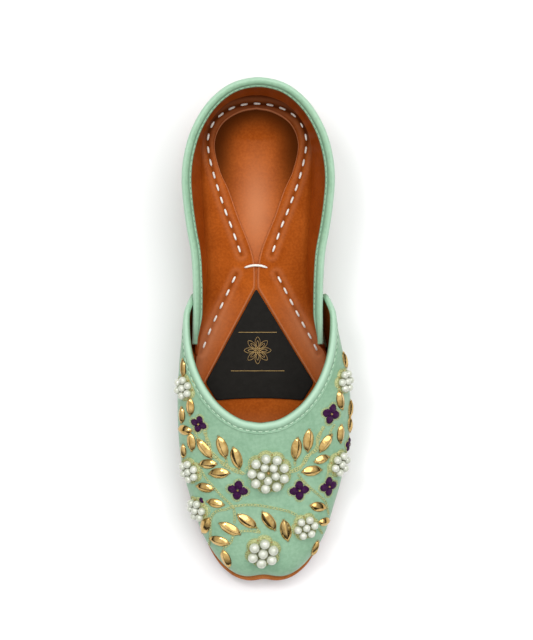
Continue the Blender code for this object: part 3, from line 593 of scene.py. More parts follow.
def joinShapes(shapes):
    # Several (points, quads) as one
    points, quads, size = [], [], 0
    for shapePoints, shapeQuads in shapes:
        shapePoints = np.asarray(shapePoints).reshape(-1, 3)
        points.append(shapePoints)
        quads.append(shapeQuads + size)
        size += len(shapePoints)
    return np.vstack(points), np.vstack(quads)


# Finishes: colours are linear, lengths in metres


def newFinish(name):
    # Material, its node tree, its shader and the object's own coordinates
    finish = bpy.data.materials.new(name)
    finish.use_nodes = True
    tree = finish.node_tree
    place = tree.nodes.new("ShaderNodeTexCoord")
    return finish, tree, tree.nodes["Principled BSDF"], place.outputs["Object"]


def setSockets(node, sockets):
    for socket, value in sockets.items():
        node.inputs[socket].default_value = value


def noise(tree, place, scale, detail, rough=0.5):
    node = tree.nodes.new("ShaderNodeTexNoise")
    setSockets(node, {"Scale": scale, "Detail": detail, "Roughness": rough})
    tree.links.new(place, node.inputs["Vector"])
    return node.outputs["Fac"]


def marked(tree, mark):
    # Value that a piece carries on its own points
    node = tree.nodes.new("ShaderNodeAttribute")
    node.attribute_name = mark
    return node.outputs["Fac"]


def mixed(tree, share, first, second):
    # Colour mix; each of the three is a socket or a constant
    node = tree.nodes.new("ShaderNodeMix")
    node.data_type = "RGBA"
    for socket, value in ((node.inputs[0], share), (node.inputs[6], first), (node.inputs[7], second)):
        if isinstance(value, bpy.types.NodeSocket):
            tree.links.new(value, socket)
        else:
            socket.default_value = value
    return node.outputs[2]


def bump(tree, height, strength, depth):
    node = tree.nodes.new("ShaderNodeBump")
    setSockets(node, {"Strength": strength, "Distance": depth})
    tree.links.new(height, node.inputs["Height"])
    return node


hide = {"cloudRamp": (0.34, 0.68), "speckRamp": (0.40, 0.62), "speckShare": 0.30, "noiseRough": 0.55,
        "roughScale": 2.3, "roughBelow": 0.07, "roughAbove": 0.09, "poreDepth": 0.00012,
        "foldDepth": 0.0006}


def leatherFinish(name, look, sizes=hide):
    # Leather: cloudy colour from soft noise, darkened by painted shade and paled by painted highlights
    # and wear where the piece is marked, pores from cells and soft folds as bump
    finish, tree, shader, place = newFinish(name)
    links, soft = tree.links, sizes["noiseRough"]
    colour = twoTone(tree, noise(tree, place, look["cloud"], 5.0, soft), sizes["cloudRamp"],
                     (look["deep"], look["pale"]))
    specks = twoTone(tree, noise(tree, place, look["speck"], 3.0, soft), sizes["speckRamp"],
                     (look["dark"], look["pale"]))
    colour = mixed(tree, sizes["speckShare"], colour, specks)
    for mark, tone in look["marks"].items():
        colour = mixed(tree, marked(tree, mark), colour, (*tone, 1.0))
    links.new(colour, shader.inputs["Base Color"])
    rough = tree.nodes.new("ShaderNodeMapRange")
    setSockets(rough, {"To Min": look["rough"] - sizes["roughBelow"],
                       "To Max": look["rough"] + sizes["roughAbove"]})
    links.new(noise(tree, place, look["cloud"] * sizes["roughScale"], 4.0, soft), rough.inputs["Value"])
    links.new(rough.outputs["Result"], shader.inputs["Roughness"])
    setSockets(shader, look["set"])
    pores = tree.nodes.new("ShaderNodeTexVoronoi")
    setSockets(pores, {"Scale": look["pore"]})
    links.new(place, pores.inputs["Vector"])
    grain = bump(tree, pores.outputs["Distance"], look["grain"], sizes["poreDepth"])
    folds = bump(tree, noise(tree, place, look["fold"], 3.0, soft), look["wave"], sizes["foldDepth"])
    links.new(folds.outputs["Normal"], grain.inputs["Normal"])
    links.new(grain.outputs["Normal"], shader.inputs["Normal"])
    return finish


def plainFinish(name, deep, pale, scale, strength, depth, sockets, fibres=False):
    # Thread, bead and foil: one colour with fine variation and a fine bump.
    # Satin's bump is sin(fibre), where the piece's own mark counts the fibres across it.
    finish, tree, shader, place = newFinish(name)
    height = noise(tree, place, scale, 3.0)
    tree.links.new(twoTone(tree, height, (0.32, 0.66), (deep, pale)), shader.inputs["Base Color"])
    setSockets(shader, sockets)
    if fibres:
        wave = tree.nodes.new("ShaderNodeMath")
        wave.operation = "SINE"
        tree.links.new(marked(tree, "fibre"), wave.inputs[0])
        height = wave.outputs[0]
    tree.links.new(bump(tree, height, strength, depth).outputs["Normal"], shader.inputs["Normal"])
    return finish


# in each look's marks the darker colour is painted shade and the paler one a painted highlight, which
# also pales worn places
leatherLooks = {
    "mintLeather": {
        "deep": (0.228, 0.410, 0.262), "pale": (0.292, 0.480, 0.322), "dark": (0.178, 0.335, 0.205),
        "cloud": 70.0, "speck": 560.0, "pore": 2100.0, "fold": 130.0, "grain": 0.22, "wave": 0.34,
        "rough": 0.40, "marks": {"shade": (0.115, 0.240, 0.145), "highlightAndWear": (0.430, 0.640, 0.480)},
        "set": {"Specular IOR Level": 0.45, "Coat Weight": 0.06, "Coat Roughness": 0.32}},
    "brownLeather": {
        "deep": (0.300, 0.055, 0.004), "pale": (0.425, 0.094, 0.011), "dark": (0.200, 0.036, 0.003),
        "cloud": 75.0, "speck": 900.0, "pore": 1900.0, "fold": 110.0, "grain": 0.20, "wave": 0.20,
        "rough": 0.44, "marks": {"shade": (0.060, 0.009, 0.0005), "highlightAndWear": (0.570, 0.225, 0.105)},
        "set": {"Specular IOR Level": 0.30, "Specular Tint": (0.75, 0.28, 0.07, 1.0)}},
    "soleLeather": {
        "deep": (0.350, 0.105, 0.026), "pale": (0.500, 0.170, 0.052), "dark": (0.200, 0.055, 0.012),
        "cloud": 120.0, "speck": 1300.0, "pore": 2400.0, "fold": 300.0, "grain": 0.30, "wave": 0.30,
        "rough": 0.55, "marks": {"shade": (0.130, 0.040, 0.014)},
        "set": {"Specular IOR Level": 0.40, "Specular Tint": (0.80, 0.45, 0.20, 1.0)}},
    "labelCloth": {
        "deep": (0.0045, 0.0042, 0.0038), "pale": (0.0090, 0.0084, 0.0076),
        "dark": (0.0030, 0.0028, 0.0025), "cloud": 260.0, "speck": 1900.0, "pore": 2900.0,
        "fold": 160.0, "grain": 0.30, "wave": 0.12, "rough": 0.62, "marks": {},
        "set": {"Specular IOR Level": 0.16, "Specular Tint": (1.0, 0.95, 0.85, 1.0)}},
}
# deep and pale colour, noise scale, bump and its depth, the shader's own sockets, satin's fibres
plainLooks = {
    "whiteCotton": ((0.78, 0.76, 0.68), (0.90, 0.89, 0.84), 1400.0, 0.5, 0.0001, {"Roughness": 0.62}),
    "mintCotton": ((0.42, 0.62, 0.45), (0.64, 0.80, 0.62), 1400.0, 0.5, 0.0001, {"Roughness": 0.55}),
    "darkCotton": ((0.040, 0.085, 0.055), (0.085, 0.155, 0.105), 1400.0, 0.4, 0.0001,
                   {"Roughness": 0.7}),
    "zari": ((0.36, 0.39, 0.14), (0.66, 0.67, 0.33), 1800.0, 0.5, 0.0001,
             {"Roughness": 0.38, "Metallic": 0.05}),
    "oliveZari": ((0.30, 0.34, 0.13), (0.62, 0.64, 0.32), 1500.0, 0.8, 0.0002,
                  {"Roughness": 0.5, "Metallic": 0.2}),
    "gold": ((0.430, 0.270, 0.080), (0.720, 0.500, 0.200), 300.0, 0.24, 0.0006,
             {"Roughness": 0.14, "Metallic": 1.0}),
    "goldFoil": ((0.42, 0.27, 0.09), (0.62, 0.42, 0.16), 2400.0, 0.3, 0.00004,
                 {"Roughness": 0.35, "Metallic": 0.8}),
    "pearl": ((0.50, 0.53, 0.42), (0.66, 0.68, 0.58), 300.0, 0.03, 0.0001,
              {"Roughness": 0.30, "Coat Weight": 1.0, "Coat Roughness": 0.05, "Coat IOR": 1.85}),
    "satin": ((0.024, 0.002, 0.030), (0.052, 0.006, 0.060), 900.0, 0.55, 0.00012,
              {"Roughness": 0.42, "Specular IOR Level": 0.15}, True),
}
mintLeather, brownLeather, soleLeather, labelCloth = (
    leatherFinish(name, look) for name, look in leatherLooks.items())
whiteCotton, mintCotton, darkCotton, zari, oliveZari, gold, goldFoil, pearl, satin = (
    plainFinish(name, *look) for name, look in plainLooks.items())
print("finishes made")

# Outsole and heel lift

sole = {"points": 520, "edgeRound": 0.0008, "spineEnd": 0.030, "rings": (0.0, 0.2, 0.4, 0.6, 0.8, 0.93),
        "layers": 3, "groove": 0.00016, "liftPoints": 300, "breastPoints": 60, "liftSpineEnd": 0.028,
        "liftSunk": 0.0004, "floorNear": 0.0002, "floorShade": 0.35, "rimShade": 0.5, "rimReach": 0.0006,
        # one layer's rim: share of its height, share of the groove
        "layerRim": ((0.0, 1.0), (0.05, 0.2), (0.15, 0.0), (0.85, 0.0), (0.95, 0.2))}


def spineOf(ring, end):
    # Each point's place on the middle line, held back from both ends
    y = np.clip(ring[:, 1], ring[:, 1].min() + end, ring[:, 1].max() - end)
    return np.column_stack((middleX(shareOf(y)), y))


def makeOutsole(sizes):
    # Sole: plate of even thickness with rounded edges. Lift: layers with fine grooves between them.
    # Darker on the floor and by exp(-(h/reach)^2) at height h over the underside.
    ring = closedEdge(0.0, sizes["points"])
    rim = roundedRim(sizes["edgeRound"], last["soleThickness"])
    shapes = [plate(ring, rim, spineOf(ring, sizes["spineEnd"]), sizes["rings"],
                    lambda x, y: soleTop(shareOf(y)), lambda x, y: soleUnder(shareOf(y)))]
    breast = heelY - last["liftShare"] * last["soleLength"]
    edge = closedEdge(last["liftInset"], sizes["points"])
    behind = edge[edge[:, 1] > breast]
    across = np.linspace(behind[-1, 0], behind[0, 0], sizes["breastPoints"])[1:-1]
    ring = np.vstack((behind, np.stack((across, np.full_like(across, breast)), -1)))
    ring = along(np.vstack((ring, ring[:1])), evenly(sizes["liftPoints"] + 1)[:-1])
    rim = [(sizes["groove"] * inset, (layer + part) / sizes["layers"])
           for layer in range(sizes["layers"]) for part, inset in sizes["layerRim"]]
    top = last["heelLift"] + sizes["liftSunk"]
    shapes.append(plate(ring, rim + [(sizes["groove"], 1.0)], spineOf(ring, sizes["liftSpineEnd"]),
                        sizes["rings"], lambda x, y: np.full_like(x, top), lambda x, y: 0.0 * x))
    points, quads = joinShapes(shapes)
    high = points[:, 2] - soleUnder(shareOf(points[:, 1]))
    shade = np.where(points[:, 2] < sizes["floorNear"], sizes["floorShade"], 0.0) \
        + sizes["rimShade"] * np.exp(-(high / sizes["rimReach"])**2)
    addPiece("outsoleLeather", points, quads, soleLeather, "sole_leather", ["outsole"], {"shade": shade},
             weld=True)


makeOutsole(sole)
print("outsole made")

# Upper: mint leather outside, brown lining inside

upper = {"vampGrid": (121, 81), "quarterGrid": (111, 45), "leather": 0.0010, "glue": 0.00002,
         "bindingDrop": 0.0040, "tuck": 0.0004, "tuckSteep": 12.0, "toeDent": 0.0006,
         "dentWide": 0.006, "dentLong": 0.014, "footShade": 0.55, "shadeReach": 0.035, "hidden": 3}


def makeWall(name, half, counts, sizes, hidden=0):
    # Outer leather and lining as two closed shells: surface + normal * depth, with a dent at the toe's
    # middle, exp(-(x/wide)^2 - (y/long)^2). The leather stops some ribs short of its hidden ends.
    places, steps = (evenly(count) for count in counts)
    dense = wholeWall(half, places, steps)
    at = steps[None, :] * placeBelow(dense, (sizes["bindingDrop"],))
    surface, normal = readRibs(dense, at), readRibs(wallNormals(dense), at)
    dent = np.exp(-(surface[..., 0] / sizes["dentWide"])**2
                  - ((surface[..., 1] - toeY) / sizes["dentLong"])**2)
    surface = surface - normal * (sizes["toeDent"] * dent)[..., None]
    surface[..., 2] -= np.clip(1.0 - steps * sizes["tuckSteep"], 0.0, 1.0) * sizes["tuck"]

    def layer(depth):
        moved = surface - normal * depth
        moved[:, 0, 2] = surface[:, 0, 2]
        return moved

    low = sizes["footShade"] * np.exp(-steps / sizes["shadeReach"])
    low = np.repeat(low[None], len(surface), axis=0)
    shown = slice(hidden, len(surface) - hidden)
    addPiece(name + "Leather", *shell(layer(0.0)[shown], layer(sizes["leather"])[shown]), mintLeather,
             "upper_leather", ["upper"], {"shade": (low[shown], low[shown])})
    addPiece(name + "Lining", *shell(layer(sizes["leather"] + sizes["glue"]), layer(last["wall"])),
             brownLeather, "lining_leather", ["upper"],
             {"shade": (low, low), "highlightAndWear": np.zeros(2 * low.size)})
    return surface


vampSurface = makeWall("vamp", vampHalf, upper["vampGrid"], upper)
makeWall("quarter", quarterHalf, upper["quarterGrid"], upper, upper["hidden"])
print("upper made")

# Bindings: folded strips over both edges, with their stitch lines

# drop below the edge and lift over the outer face, in millimetres, from the outer lip over the roll
vampProfile = np.array((
    (5.75, -0.30), (5.80, 0.10), (5.72, 0.34), (5.55, 0.46), (5.30, 0.44), (5.00, 0.34), (4.65, 0.22),
    (4.30, 0.15), (3.95, 0.24), (3.60, 0.50), (3.10, 0.74), (2.50, 0.88), (1.80, 0.92), (1.15, 0.78),
    (0.60, 0.38), (0.22, -0.20), (0.05, -0.90), (0.22, -1.60), (0.60, -2.16), (1.15, -2.52),
    (1.80, -2.68), (2.60, -2.66), (3.40, -2.56), (4.00, -2.40), (4.20, -2.10), (4.20, -1.70),
))
quarterProfile = np.array((
    (4.20, -0.30), (4.22, 0.20), (4.10, 0.52), (3.60, 0.72), (2.80, 0.86), (1.80, 0.92), (1.15, 0.80),
    (0.60, 0.42), (0.22, -0.18), (0.05, -0.90), (0.20, -1.58), (0.55, -2.14), (1.05, -2.52),
    (1.55, -2.66), (1.80, -2.74), (1.86, -2.90), (1.84, -3.20), (1.98, -3.56), (2.40, -3.80),
    (3.20, -3.82), (4.20, -3.50), (5.20, -2.80), (5.60, -2.20), (5.62, -1.70),
))
vampBinding = {"grid": (201, 81), "free": 0.020, "tuck": 0.72, "gather": 0.00005, "turns": 60.0}
quarterBinding = {"grid": (301, 81), "free": 0.004, "tuck": 0.88, "gather": 0.00012, "turns": 83.0}
# the roll in millimetres, its gathers' beat and end, the painted shade in the creases (place, width,
# strength) and the painted highlight over the roll
roll = {"middle": -0.9, "thick": 1.6, "wide": 2.6, "beat": 37.0, "gatherEnd": 0.55,
        "outerCreaseShade": (4.3, 0.40, 0.45), "innerCreaseShade": (-2.85, 0.16, 0.8), "innerDrop": 2.5,
        "highlightAndWear": (1.0, 2.0, 0.75), "highlightLift": -0.6}


def hump(values, place, width, strength):
    # strength exp(-((value - place) / width)^2)
    return strength * np.exp(-((values - place) / width)**2)


def carryProfile(dense, profile, sizes):
    # Profile carried along the topline: surface(drop) + normal * lift. Towards the ends its inner part
    # is drawn back to the wall; round the middle its roll is gathered by two sines of different beat.
    drop, rise = profile.T
    places = placeBelow(dense, drop / 1000.0)
    surface, normal = readRibs(dense, places), readRibs(wallNormals(dense), places)
    run, wall = np.linspace(-1.0, 1.0, len(dense)), last["wall"]
    lift = np.repeat(rise[None] / 1000.0, len(dense), axis=0)
    drawn = fade(sizes["tuck"], 1.0 - sizes["free"], np.abs(run))[:, None]
    lift = np.where(lift < -wall, -wall + (lift + wall) * (1.0 - drawn), lift)
    ripple = np.sin(run * math.pi * sizes["turns"]) * np.sin(np.linspace(0.0, roll["beat"], len(dense)))
    ripple *= (1.0 - fade(0.0, roll["gatherEnd"], np.abs(run))) * sizes["gather"]
    out = rise - roll["middle"]
    onRoll = np.exp(-(out / roll["thick"])**4 - (drop / roll["wide"])**4) * np.sign(out)
    return surface + normal * (lift + ripple[:, None] * onRoll)[..., None]


def closedEnds(grid, shares):
    # Strip whose end rows are drawn in to their middle by shares, the innermost first
    middle = grid.mean(axis=1, keepdims=True)
    ends = [[middle[end] + (grid[end] - middle[end]) * share for share in shares] for end in (0, -1)]
    return np.concatenate((ends[0], grid, ends[1][::-1]))


def makeBinding(name, half, profile, sizes, node):
    # Closed strip, with painted shade in its creases and a painted highlight over the roll
    dense = wholeWall(half, *(evenly(count) for count in sizes["grid"]))
    first = int(round(sizes["free"] * sizes["grid"][0]))
    grid = closedEnds(carryProfile(dense, profile, sizes)[first:len(dense) - first], (0.0, 0.5))
    drop, rise = profile.T
    # painted shade in the creases; painted highlight on the outer side of the roll
    shade = np.maximum(hump(drop, *roll["outerCreaseShade"]),
                       hump(rise, *roll["innerCreaseShade"]) * (drop < roll["innerDrop"]))
    highlightAndWear = hump(drop, *roll["highlightAndWear"]) * (rise > roll["highlightLift"])
    addPiece(name, *tube(grid), mintLeather, "upper_leather", [node],
             {"shade": [shade] * len(grid), "highlightAndWear": [highlightAndWear] * len(grid)}, weld=True)
    return dense


def edgeLine(dense, sizes, free):
    # Line that runs along an edge at one drop and lift, with the face's normals
    places = placeBelow(dense, (sizes["drop"],))
    normal = readRibs(wallNormals(dense), places)[:, 0]
    line = readRibs(dense, places)[:, 0] + normal * sizes["lift"]
    first = int(round(free * len(line) / 2))
    return line[first:len(line) - first], normal[first:len(line) - first]


vampBand = makeBinding("vampBinding", vampHalf, vampProfile, vampBinding, "vamp_binding")
quarterBand = makeBinding("quarterBinding", quarterHalf, quarterProfile, quarterBinding,
                          "quarter_binding")

edgeStitch = {"drop": 0.0043, "lift": 0.00022, "long": 0.0023, "space": 0.0009, "thread": 0.00026,
              "rise": 0.00018, "rearRise": 0.0002, "rearFirst": 0.001}
collarStitch = {"drop": 0.0019, "lift": -0.00330, "long": 0.0011, "space": 0.0016, "thread": 0.00019,
                "rise": 0.00006}
# across the vamp's rear edge, in millimetres: way in from the edge, lift over the face, way out behind
rearProfile = np.array((
    (5.6, -0.30, 0.00), (5.5, 0.34, 0.00), (5.2, 0.44, 0.00), (4.7, 0.30, 0.00), (4.3, 0.16, 0.00),
    (3.9, 0.30, 0.00), (3.2, 0.42, 0.00), (1.6, 0.46, 0.00), (0.5, 0.42, 0.15), (0.0, 0.20, 0.42),
    (0.0, -0.90, 0.55), (0.0, -1.95, 0.30), (0.6, -2.00, 0.00),
))
rearStrip = {"from": 0.90, "ribs": 81, "steps": 70, "tuck": 0.0004, "stitchRow": 4}


def rearEdge(side, sizes):
    # Folded strip down the vamp's rear edge: face(way in) + normal * lift + backward * way out,
    # from the sole to the ear, with the line of its stitches and that line's normals
    patch = vampHalf(side, np.linspace(sizes["from"], 1.0, sizes["ribs"]),
                     evenly(sizes["steps"]))
    normals = unit(np.cross(np.gradient(patch, axis=0), np.gradient(patch, axis=1)))
    normals *= np.sign((normals[..., 0] * side).sum())
    inward, lift, outward = (rearProfile / 1000.0).T
    rows = np.stack([readCurve(step, reachAlong(step, 3), inward)
                     for step in np.concatenate((patch, normals), -1)[::-1].swapaxes(0, 1)])
    back = unit(patch[-1] - patch[-3])
    grid = rows[..., :3] + rows[..., 3:] * lift[:, None] + back[:, None] * outward[:, None]
    grid[0, :, 2] -= sizes["tuck"]
    return grid[:-1], grid[:-1, sizes["stitchRow"]], rows[:-1, sizes["stitchRow"], 3:]


def makeRearEdges(sizes):
    shapes, threads = [], []
    for side in (-1, 1):
        grid, line, normal = rearEdge(side, rearStrip)
        grid = closedEnds(grid, (0.0,))[:, ::side]
        shapes.append(tube(grid))
        runs = runOfStitches(line, normal, sizes["long"], sizes["space"], sizes["rearFirst"])
        threads.append(stitches(*runs, sizes["thread"], sizes["rearRise"]))
    points, quads = joinShapes(shapes)
    addPiece("rearEdges", points, quads, mintLeather, "upper_leather",
             marks={"shade": np.zeros(len(points))}, weld=True)
    return threads


rearStitches = makeRearEdges(edgeStitch)
line, normal = edgeLine(vampBand, edgeStitch, vampBinding["free"])
runs = runOfStitches(line, normal, edgeStitch["long"], edgeStitch["space"])
points, quads = joinShapes([stitches(*runs, edgeStitch["thread"], edgeStitch["rise"])] + rearStitches)
addPiece("vampStitches", points, quads, mintCotton, "upper_leather")
line, normal = edgeLine(quarterBand, collarStitch, 1.0 - quarterBinding["tuck"])
runs = runOfStitches(line, -normal, collarStitch["long"], collarStitch["space"])
addPiece("collarStitches", *stitches(*runs, collarStitch["thread"], collarStitch["rise"]), darkCotton,
         "upper_leather")
print("bindings made")

# Footbed, sock and label

footbed = {"points": 420, "inset": 0.0046, "edgeRound": 0.0004, "spineEnd": 0.034, "clear": 0.0001,
           "rings": tuple(np.linspace(0.0, 0.97, 26)), "seatWide": 0.0205, "seatLong": 0.019,
           "seatFrom": 0.028, "shade": (0.25, 0.98), "shadeFrom": (0.085, 0.030),
           "heelHighlight": (0.75, 0.0085, 0.060, 0.024, 0.025), "frontPaler": (0.30, -0.035, -0.050)}


def makeFootbed(sizes):
    # Insole plate, darker towards the heel's rim, where the sock's opening shades it, with a painted
    # highlight in the opening's middle, and paler towards the front
    ring = closedEdge(sizes["inset"], sizes["points"])
    points, quads = plate(ring, roundedRim(sizes["edgeRound"], last["insoleThickness"], 3),
                          spineOf(ring, sizes["spineEnd"]), sizes["rings"], footbedTop,
                          lambda x, y: soleTop(shareOf(y)) + sizes["clear"])
    x, y = points[:, 0] + last["heelSwing"], heelY - points[:, 1]
    rear = np.maximum((sizes["seatFrom"] - y) / sizes["seatLong"], 0.0)
    shade = fade(*sizes["shade"], np.hypot(x / sizes["seatWide"], rear))
    shade *= fade(-sizes["shadeFrom"][0], -sizes["shadeFrom"][1], -y)
    # painted highlight on the middle of the heel pad, and paler towards the front
    strength, wide, middle, deep, behind = sizes["heelHighlight"]
    highlightAndWear = hump(x, 0.0, wide, strength) * hump(y, middle, deep, 1.0) * (y > behind)
    share, start, full = sizes["frontPaler"]
    highlightAndWear = highlightAndWear + share * fade(start, full, points[:, 1])
    pad = addPiece("footbed", points, quads, brownLeather, "lining_leather", ["insole"],
                   {"shade": shade, "highlightAndWear": highlightAndWear}, weld=True)


makeFootbed(footbed)

sock = {"thickness": 0.0012, "inset": 0.00215, "end": 0.606, "columns": 60, "rows": 700, "bunch": 0.25,
        "curl": 0.0032, "curlWidth": 0.0046, "curlSteep": 2.2, "edgeRound": 0.0007, "edgeSharp": 0.96,
        "lip": (0.0008, 0.0005, 0.00025), "trough": 0.00034, "troughWidth": 0.0009, "pucker": 0.00015,
        "puckerAt": 0.0023, "puckerWidth": 0.0010, "thinnest": 0.00012,
        # paler, painted-highlight and painted-shade places: distance, width, strength
        "rimPaler": (0.0005, 0.0004, 0.65), "puckerHighlight": (0.0022, 0.0012, 0.20),
        "frontPaler": (0.008, 0.006, 0.45), "frontFrom": (0.095, 0.125), "rearShade": 0.62,
        "rearFrom": (0.045, 0.012), "stitchShade": (0.0, 0.0008, 0.45), "wallShade": (0.0, 0.003, 0.35)}
# half widths of the opening, as shares of the heel's width, from the heel to the slot
dropRows = np.array(((0.040, 0.000), (0.047, 0.110), (0.070, 0.225), (0.108, 0.277), (0.164, 0.243),
                     (0.206, 0.181), (0.255, 0.124), (0.345, 0.016), (0.440, 0.011)))
label = {"width": 0.0545, "tip": 0.404, "base": 0.633, "corner": 0.165, "arch": 0.022,
         "archWide": 0.80, "thickness": 0.0009, "edgeRound": 0.0003}

# stitch lines on the sock, millimetres in the last's frame: round the heel, medial side, lateral side
stitchPaths = [np.array(path) / 1000.0 for path in (
    ((-11.4, 40.4), (-15.9, 53.3), (-19.8, 63.6), (-24.5, 78.3), (-27.6, 90.6), (-28.2, 98.1),
     (-26.7, 104.0), (-24.3, 108.0), (-20.7, 111.2), (-16.0, 114.0), (-10.0, 115.7), (-3.8, 116.2),
     (2.7, 115.6), (8.6, 114.0), (13.7, 111.4), (17.4, 108.2), (19.6, 104.4), (21.3, 98.5),
     (20.7, 91.2), (17.7, 78.3), (12.1, 62.8), (8.6, 54.1), (3.9, 40.4)),
    ((-13.8, 30.9), (-19.9, 17.8), (-26.3, 4.2), (-29.0, -2.6), (-31.3, -8.6)),
    ((6.4, 30.9), (13.5, 17.6), (20.7, 4.2), (24.4, -2.4), (27.6, -8.9)),
)]
sockStitch = {"long": 0.0037, "space": 0.0026, "thread": 0.00052, "rise": 0.00035, "steps": 13,
              "around": 10, "flatten": 0.8, "sunk": 0.75}
# the long stitch across the slot
slotStitch = {"start": (-0.0099, 0.0340), "long": 0.0118, "bow": 0.0012, "thread": 0.00062,
              "level": 0.0002, "rise": 0.0007, "steps": 30, "around": 10}


def distanceTo(flat, line):
    # Distance from each point to the nearest point of a finely divided line, and how far along it is
    fine = along(line, evenly(int(reachAlong(line)[-1] / 0.0007)))
    best, place = np.full(len(flat), 1.0), np.zeros(len(flat))
    reach = reachAlong(fine)
    for part in np.array_split(np.arange(len(flat)), 12):
        gap = np.linalg.norm(flat[part, None] - fine[None], axis=2)
        best[part] = gap.min(axis=1)
        place[part] = reach[gap.argmin(axis=1)]
    return best, place


def labelLevels():
    # y of the label's tip and base
    return (heelY - label[end] * last["soleLength"] for end in ("tip", "base"))


def sockEdge(side):
    # Inner edge of the sock on one side, from the heel's middle round the opening to the label's corner
    rows = dropRows[:, ::-1] * (last["heelWidth"], -last["soleLength"]) + (0.0, heelY)
    tip, base = labelLevels()
    drop = spline(rows, 300)
    drop = drop[drop[:, 1] > tip]
    corner = np.array((label["width"] / 2.0 + last["gap"] + side * last["heelSwing"] / 2.0,
                       base + label["corner"] * label["width"]))
    run = evenly(120)[1:, None]
    return np.vstack((drop, drop[-1] + (corner - drop[-1]) * run)) * (side, 1.0) \
        - (last["heelSwing"], 0.0)


def sockHalf(side, sizes):
    # Inner edge of the strip and the sole's inset edge. The outer edge keeps level with the inner one
    # in front of the opening's widest place; behind it both run evenly round the heel.
    inner = along(sockEdge(side), evenly(sizes["rows"] // 2))
    curve = footSide(side, sizes["inset"])[0][::-1]
    curve = curve[shareOf(curve[:, 1]) < sizes["end"]]
    reach = reachAlong(curve)
    level = np.interp(-inner[:, 1], -curve[:, 1], reach)
    head = int(np.argmax(np.abs(inner[:, 0] + last["heelSwing"])))
    level[:head + 1] = evenly(head + 1) * level[head]
    return inner, readCurve(curve, reach, level)


def makeSock(sizes):
    # Strip over the footbed: thickness + curl (1 - d/width)^steep at the wall, rounded and lipped along
    # the opening, sunk along the stitches by exp(-(gap/width)^2) and puckered beside them
    (medialIn, medialOut), (lateralIn, lateralOut) = (sockHalf(side, sizes) for side in (-1, 1))
    inner = np.vstack((medialIn[:0:-1], lateralIn))
    outer = np.vstack((medialOut[:0:-1], lateralOut))
    across = evenly(sizes["columns"])
    across += sizes["bunch"] * (0.5 - 0.5 * np.cos(math.pi * across) - across)
    flat = inner[:, None] + (outer - inner)[:, None] * across[None, :, None]
    width = np.linalg.norm(outer - inner, axis=1)[:, None]
    fromInner, fromOuter = across[None] * width, (1.0 - across[None]) * width
    base = footbedTop(flat[..., 0], flat[..., 1]) + last["gap"] / 2.0
    curled = np.clip(1.0 - fromOuter / sizes["curlWidth"], 0.0, 1.0)**sizes["curlSteep"]
    edge = np.clip(1.0 - fromInner / sizes["edgeRound"], 0.0, 1.0)**2 * sizes["edgeSharp"]
    lift = (sizes["thickness"] + sizes["curl"] * curled) * np.sqrt(1.0 - edge)
    lift = lift + hump(fromInner, *sizes["lip"])
    nearest = np.full(lift.shape, 1.0)
    for path in stitchPaths:
        gap, place = (found.reshape(lift.shape)
                      for found in distanceTo(flat.reshape(-1, 2), spline(path, 300)))
        pulse = 0.5 + 0.5 * np.cos(place / (sockStitch["long"] + sockStitch["space"]) * 2.0 * math.pi)
        lift -= hump(gap, 0.0, sizes["troughWidth"], sizes["trough"])
        lift += (0.4 + pulse) * hump(gap, sizes["puckerAt"], sizes["puckerWidth"], sizes["pucker"])
        nearest = np.minimum(nearest, gap)
    top = np.concatenate((flat, (base + np.maximum(lift, sizes["thinnest"]))[..., None]), axis=-1)
    under = np.concatenate((flat, base[..., None]), axis=-1)
    # colour marks: paler along the rim, painted highlights on the puckers and along the front of the
    # opening, painted shade at the heel, in the stitch troughs and against the wall
    front = fade(*(heelY - np.array(sizes["frontFrom"])), flat[..., 1])
    rear = fade(*(heelY - np.array(sizes["rearFrom"])), flat[..., 1])
    highlightAndWear = np.clip(hump(fromInner, *sizes["rimPaler"]) + hump(nearest, *sizes["puckerHighlight"])
                   + front * hump(fromInner, *sizes["frontPaler"]), 0.0, 1.0)
    shade = np.clip(sizes["rearShade"] * rear + hump(nearest, *sizes["stitchShade"])
                    + hump(fromOuter, *sizes["wallShade"]), 0.0, 1.0)
    addPiece("sockLeather", *shell(top, under), brownLeather, "lining_leather", ["sock"],
             {"shade": (shade, shade), "highlightAndWear": (highlightAndWear, highlightAndWear)})


def sockLevel(x, y):
    return footbedTop(x, y) + last["gap"] / 2.0 + sock["thickness"]


def makeSlotStitch(sizes):
    # Thread bowed by sin(pi t), its radius tapered as (1 - |s|^6)^0.5
    t = evenly(8)
    x = sizes["start"][0] + sizes["long"] * t
    y = sizes["start"][1] + sizes["bow"] * np.sin(math.pi * t)
    level = sockLevel(x, y) + sizes["level"] + sizes["rise"] * np.sin(math.pi * t)
    fine = spline(np.column_stack((x, y, level)), sizes["steps"])
    run = unit(np.gradient(fine, axis=0))
    side = np.cross((0.0, 0.0, 1.0), run)
    turn = anglesOf(sizes["around"])[None, :, None]
    taper = (1.0 - np.abs(np.linspace(-1.0, 1.0, sizes["steps"]))**6)[:, None, None]**0.5
    out = side[:, None] * np.cos(turn) + np.cross(run, side)[:, None] * np.sin(turn)
    return tube(fine[:, None] + sizes["thread"] * taper * out)


def makeSockStitches(sizes):
    # White running stitches in their trough, and the one long stitch across the slot
    shapes = []
    for path in stitchPaths:
        curve = spline(path, 400)
        line = np.column_stack((curve, sockLevel(*curve.T) - sock["trough"] * sizes["sunk"]))
        up = np.tile((0.0, 0.0, 1.0), (len(line), 1))
        runs = runOfStitches(line, up, sizes["long"], sizes["space"])
        shapes.append(stitches(*runs, sizes["thread"], sizes["rise"], sizes["steps"], sizes["around"],
                               sizes["flatten"]))
    points, quads = joinShapes(shapes + [makeSlotStitch(slotStitch)])
    addPiece("sockStitches", points, quads, whiteCotton, "lining_leather")


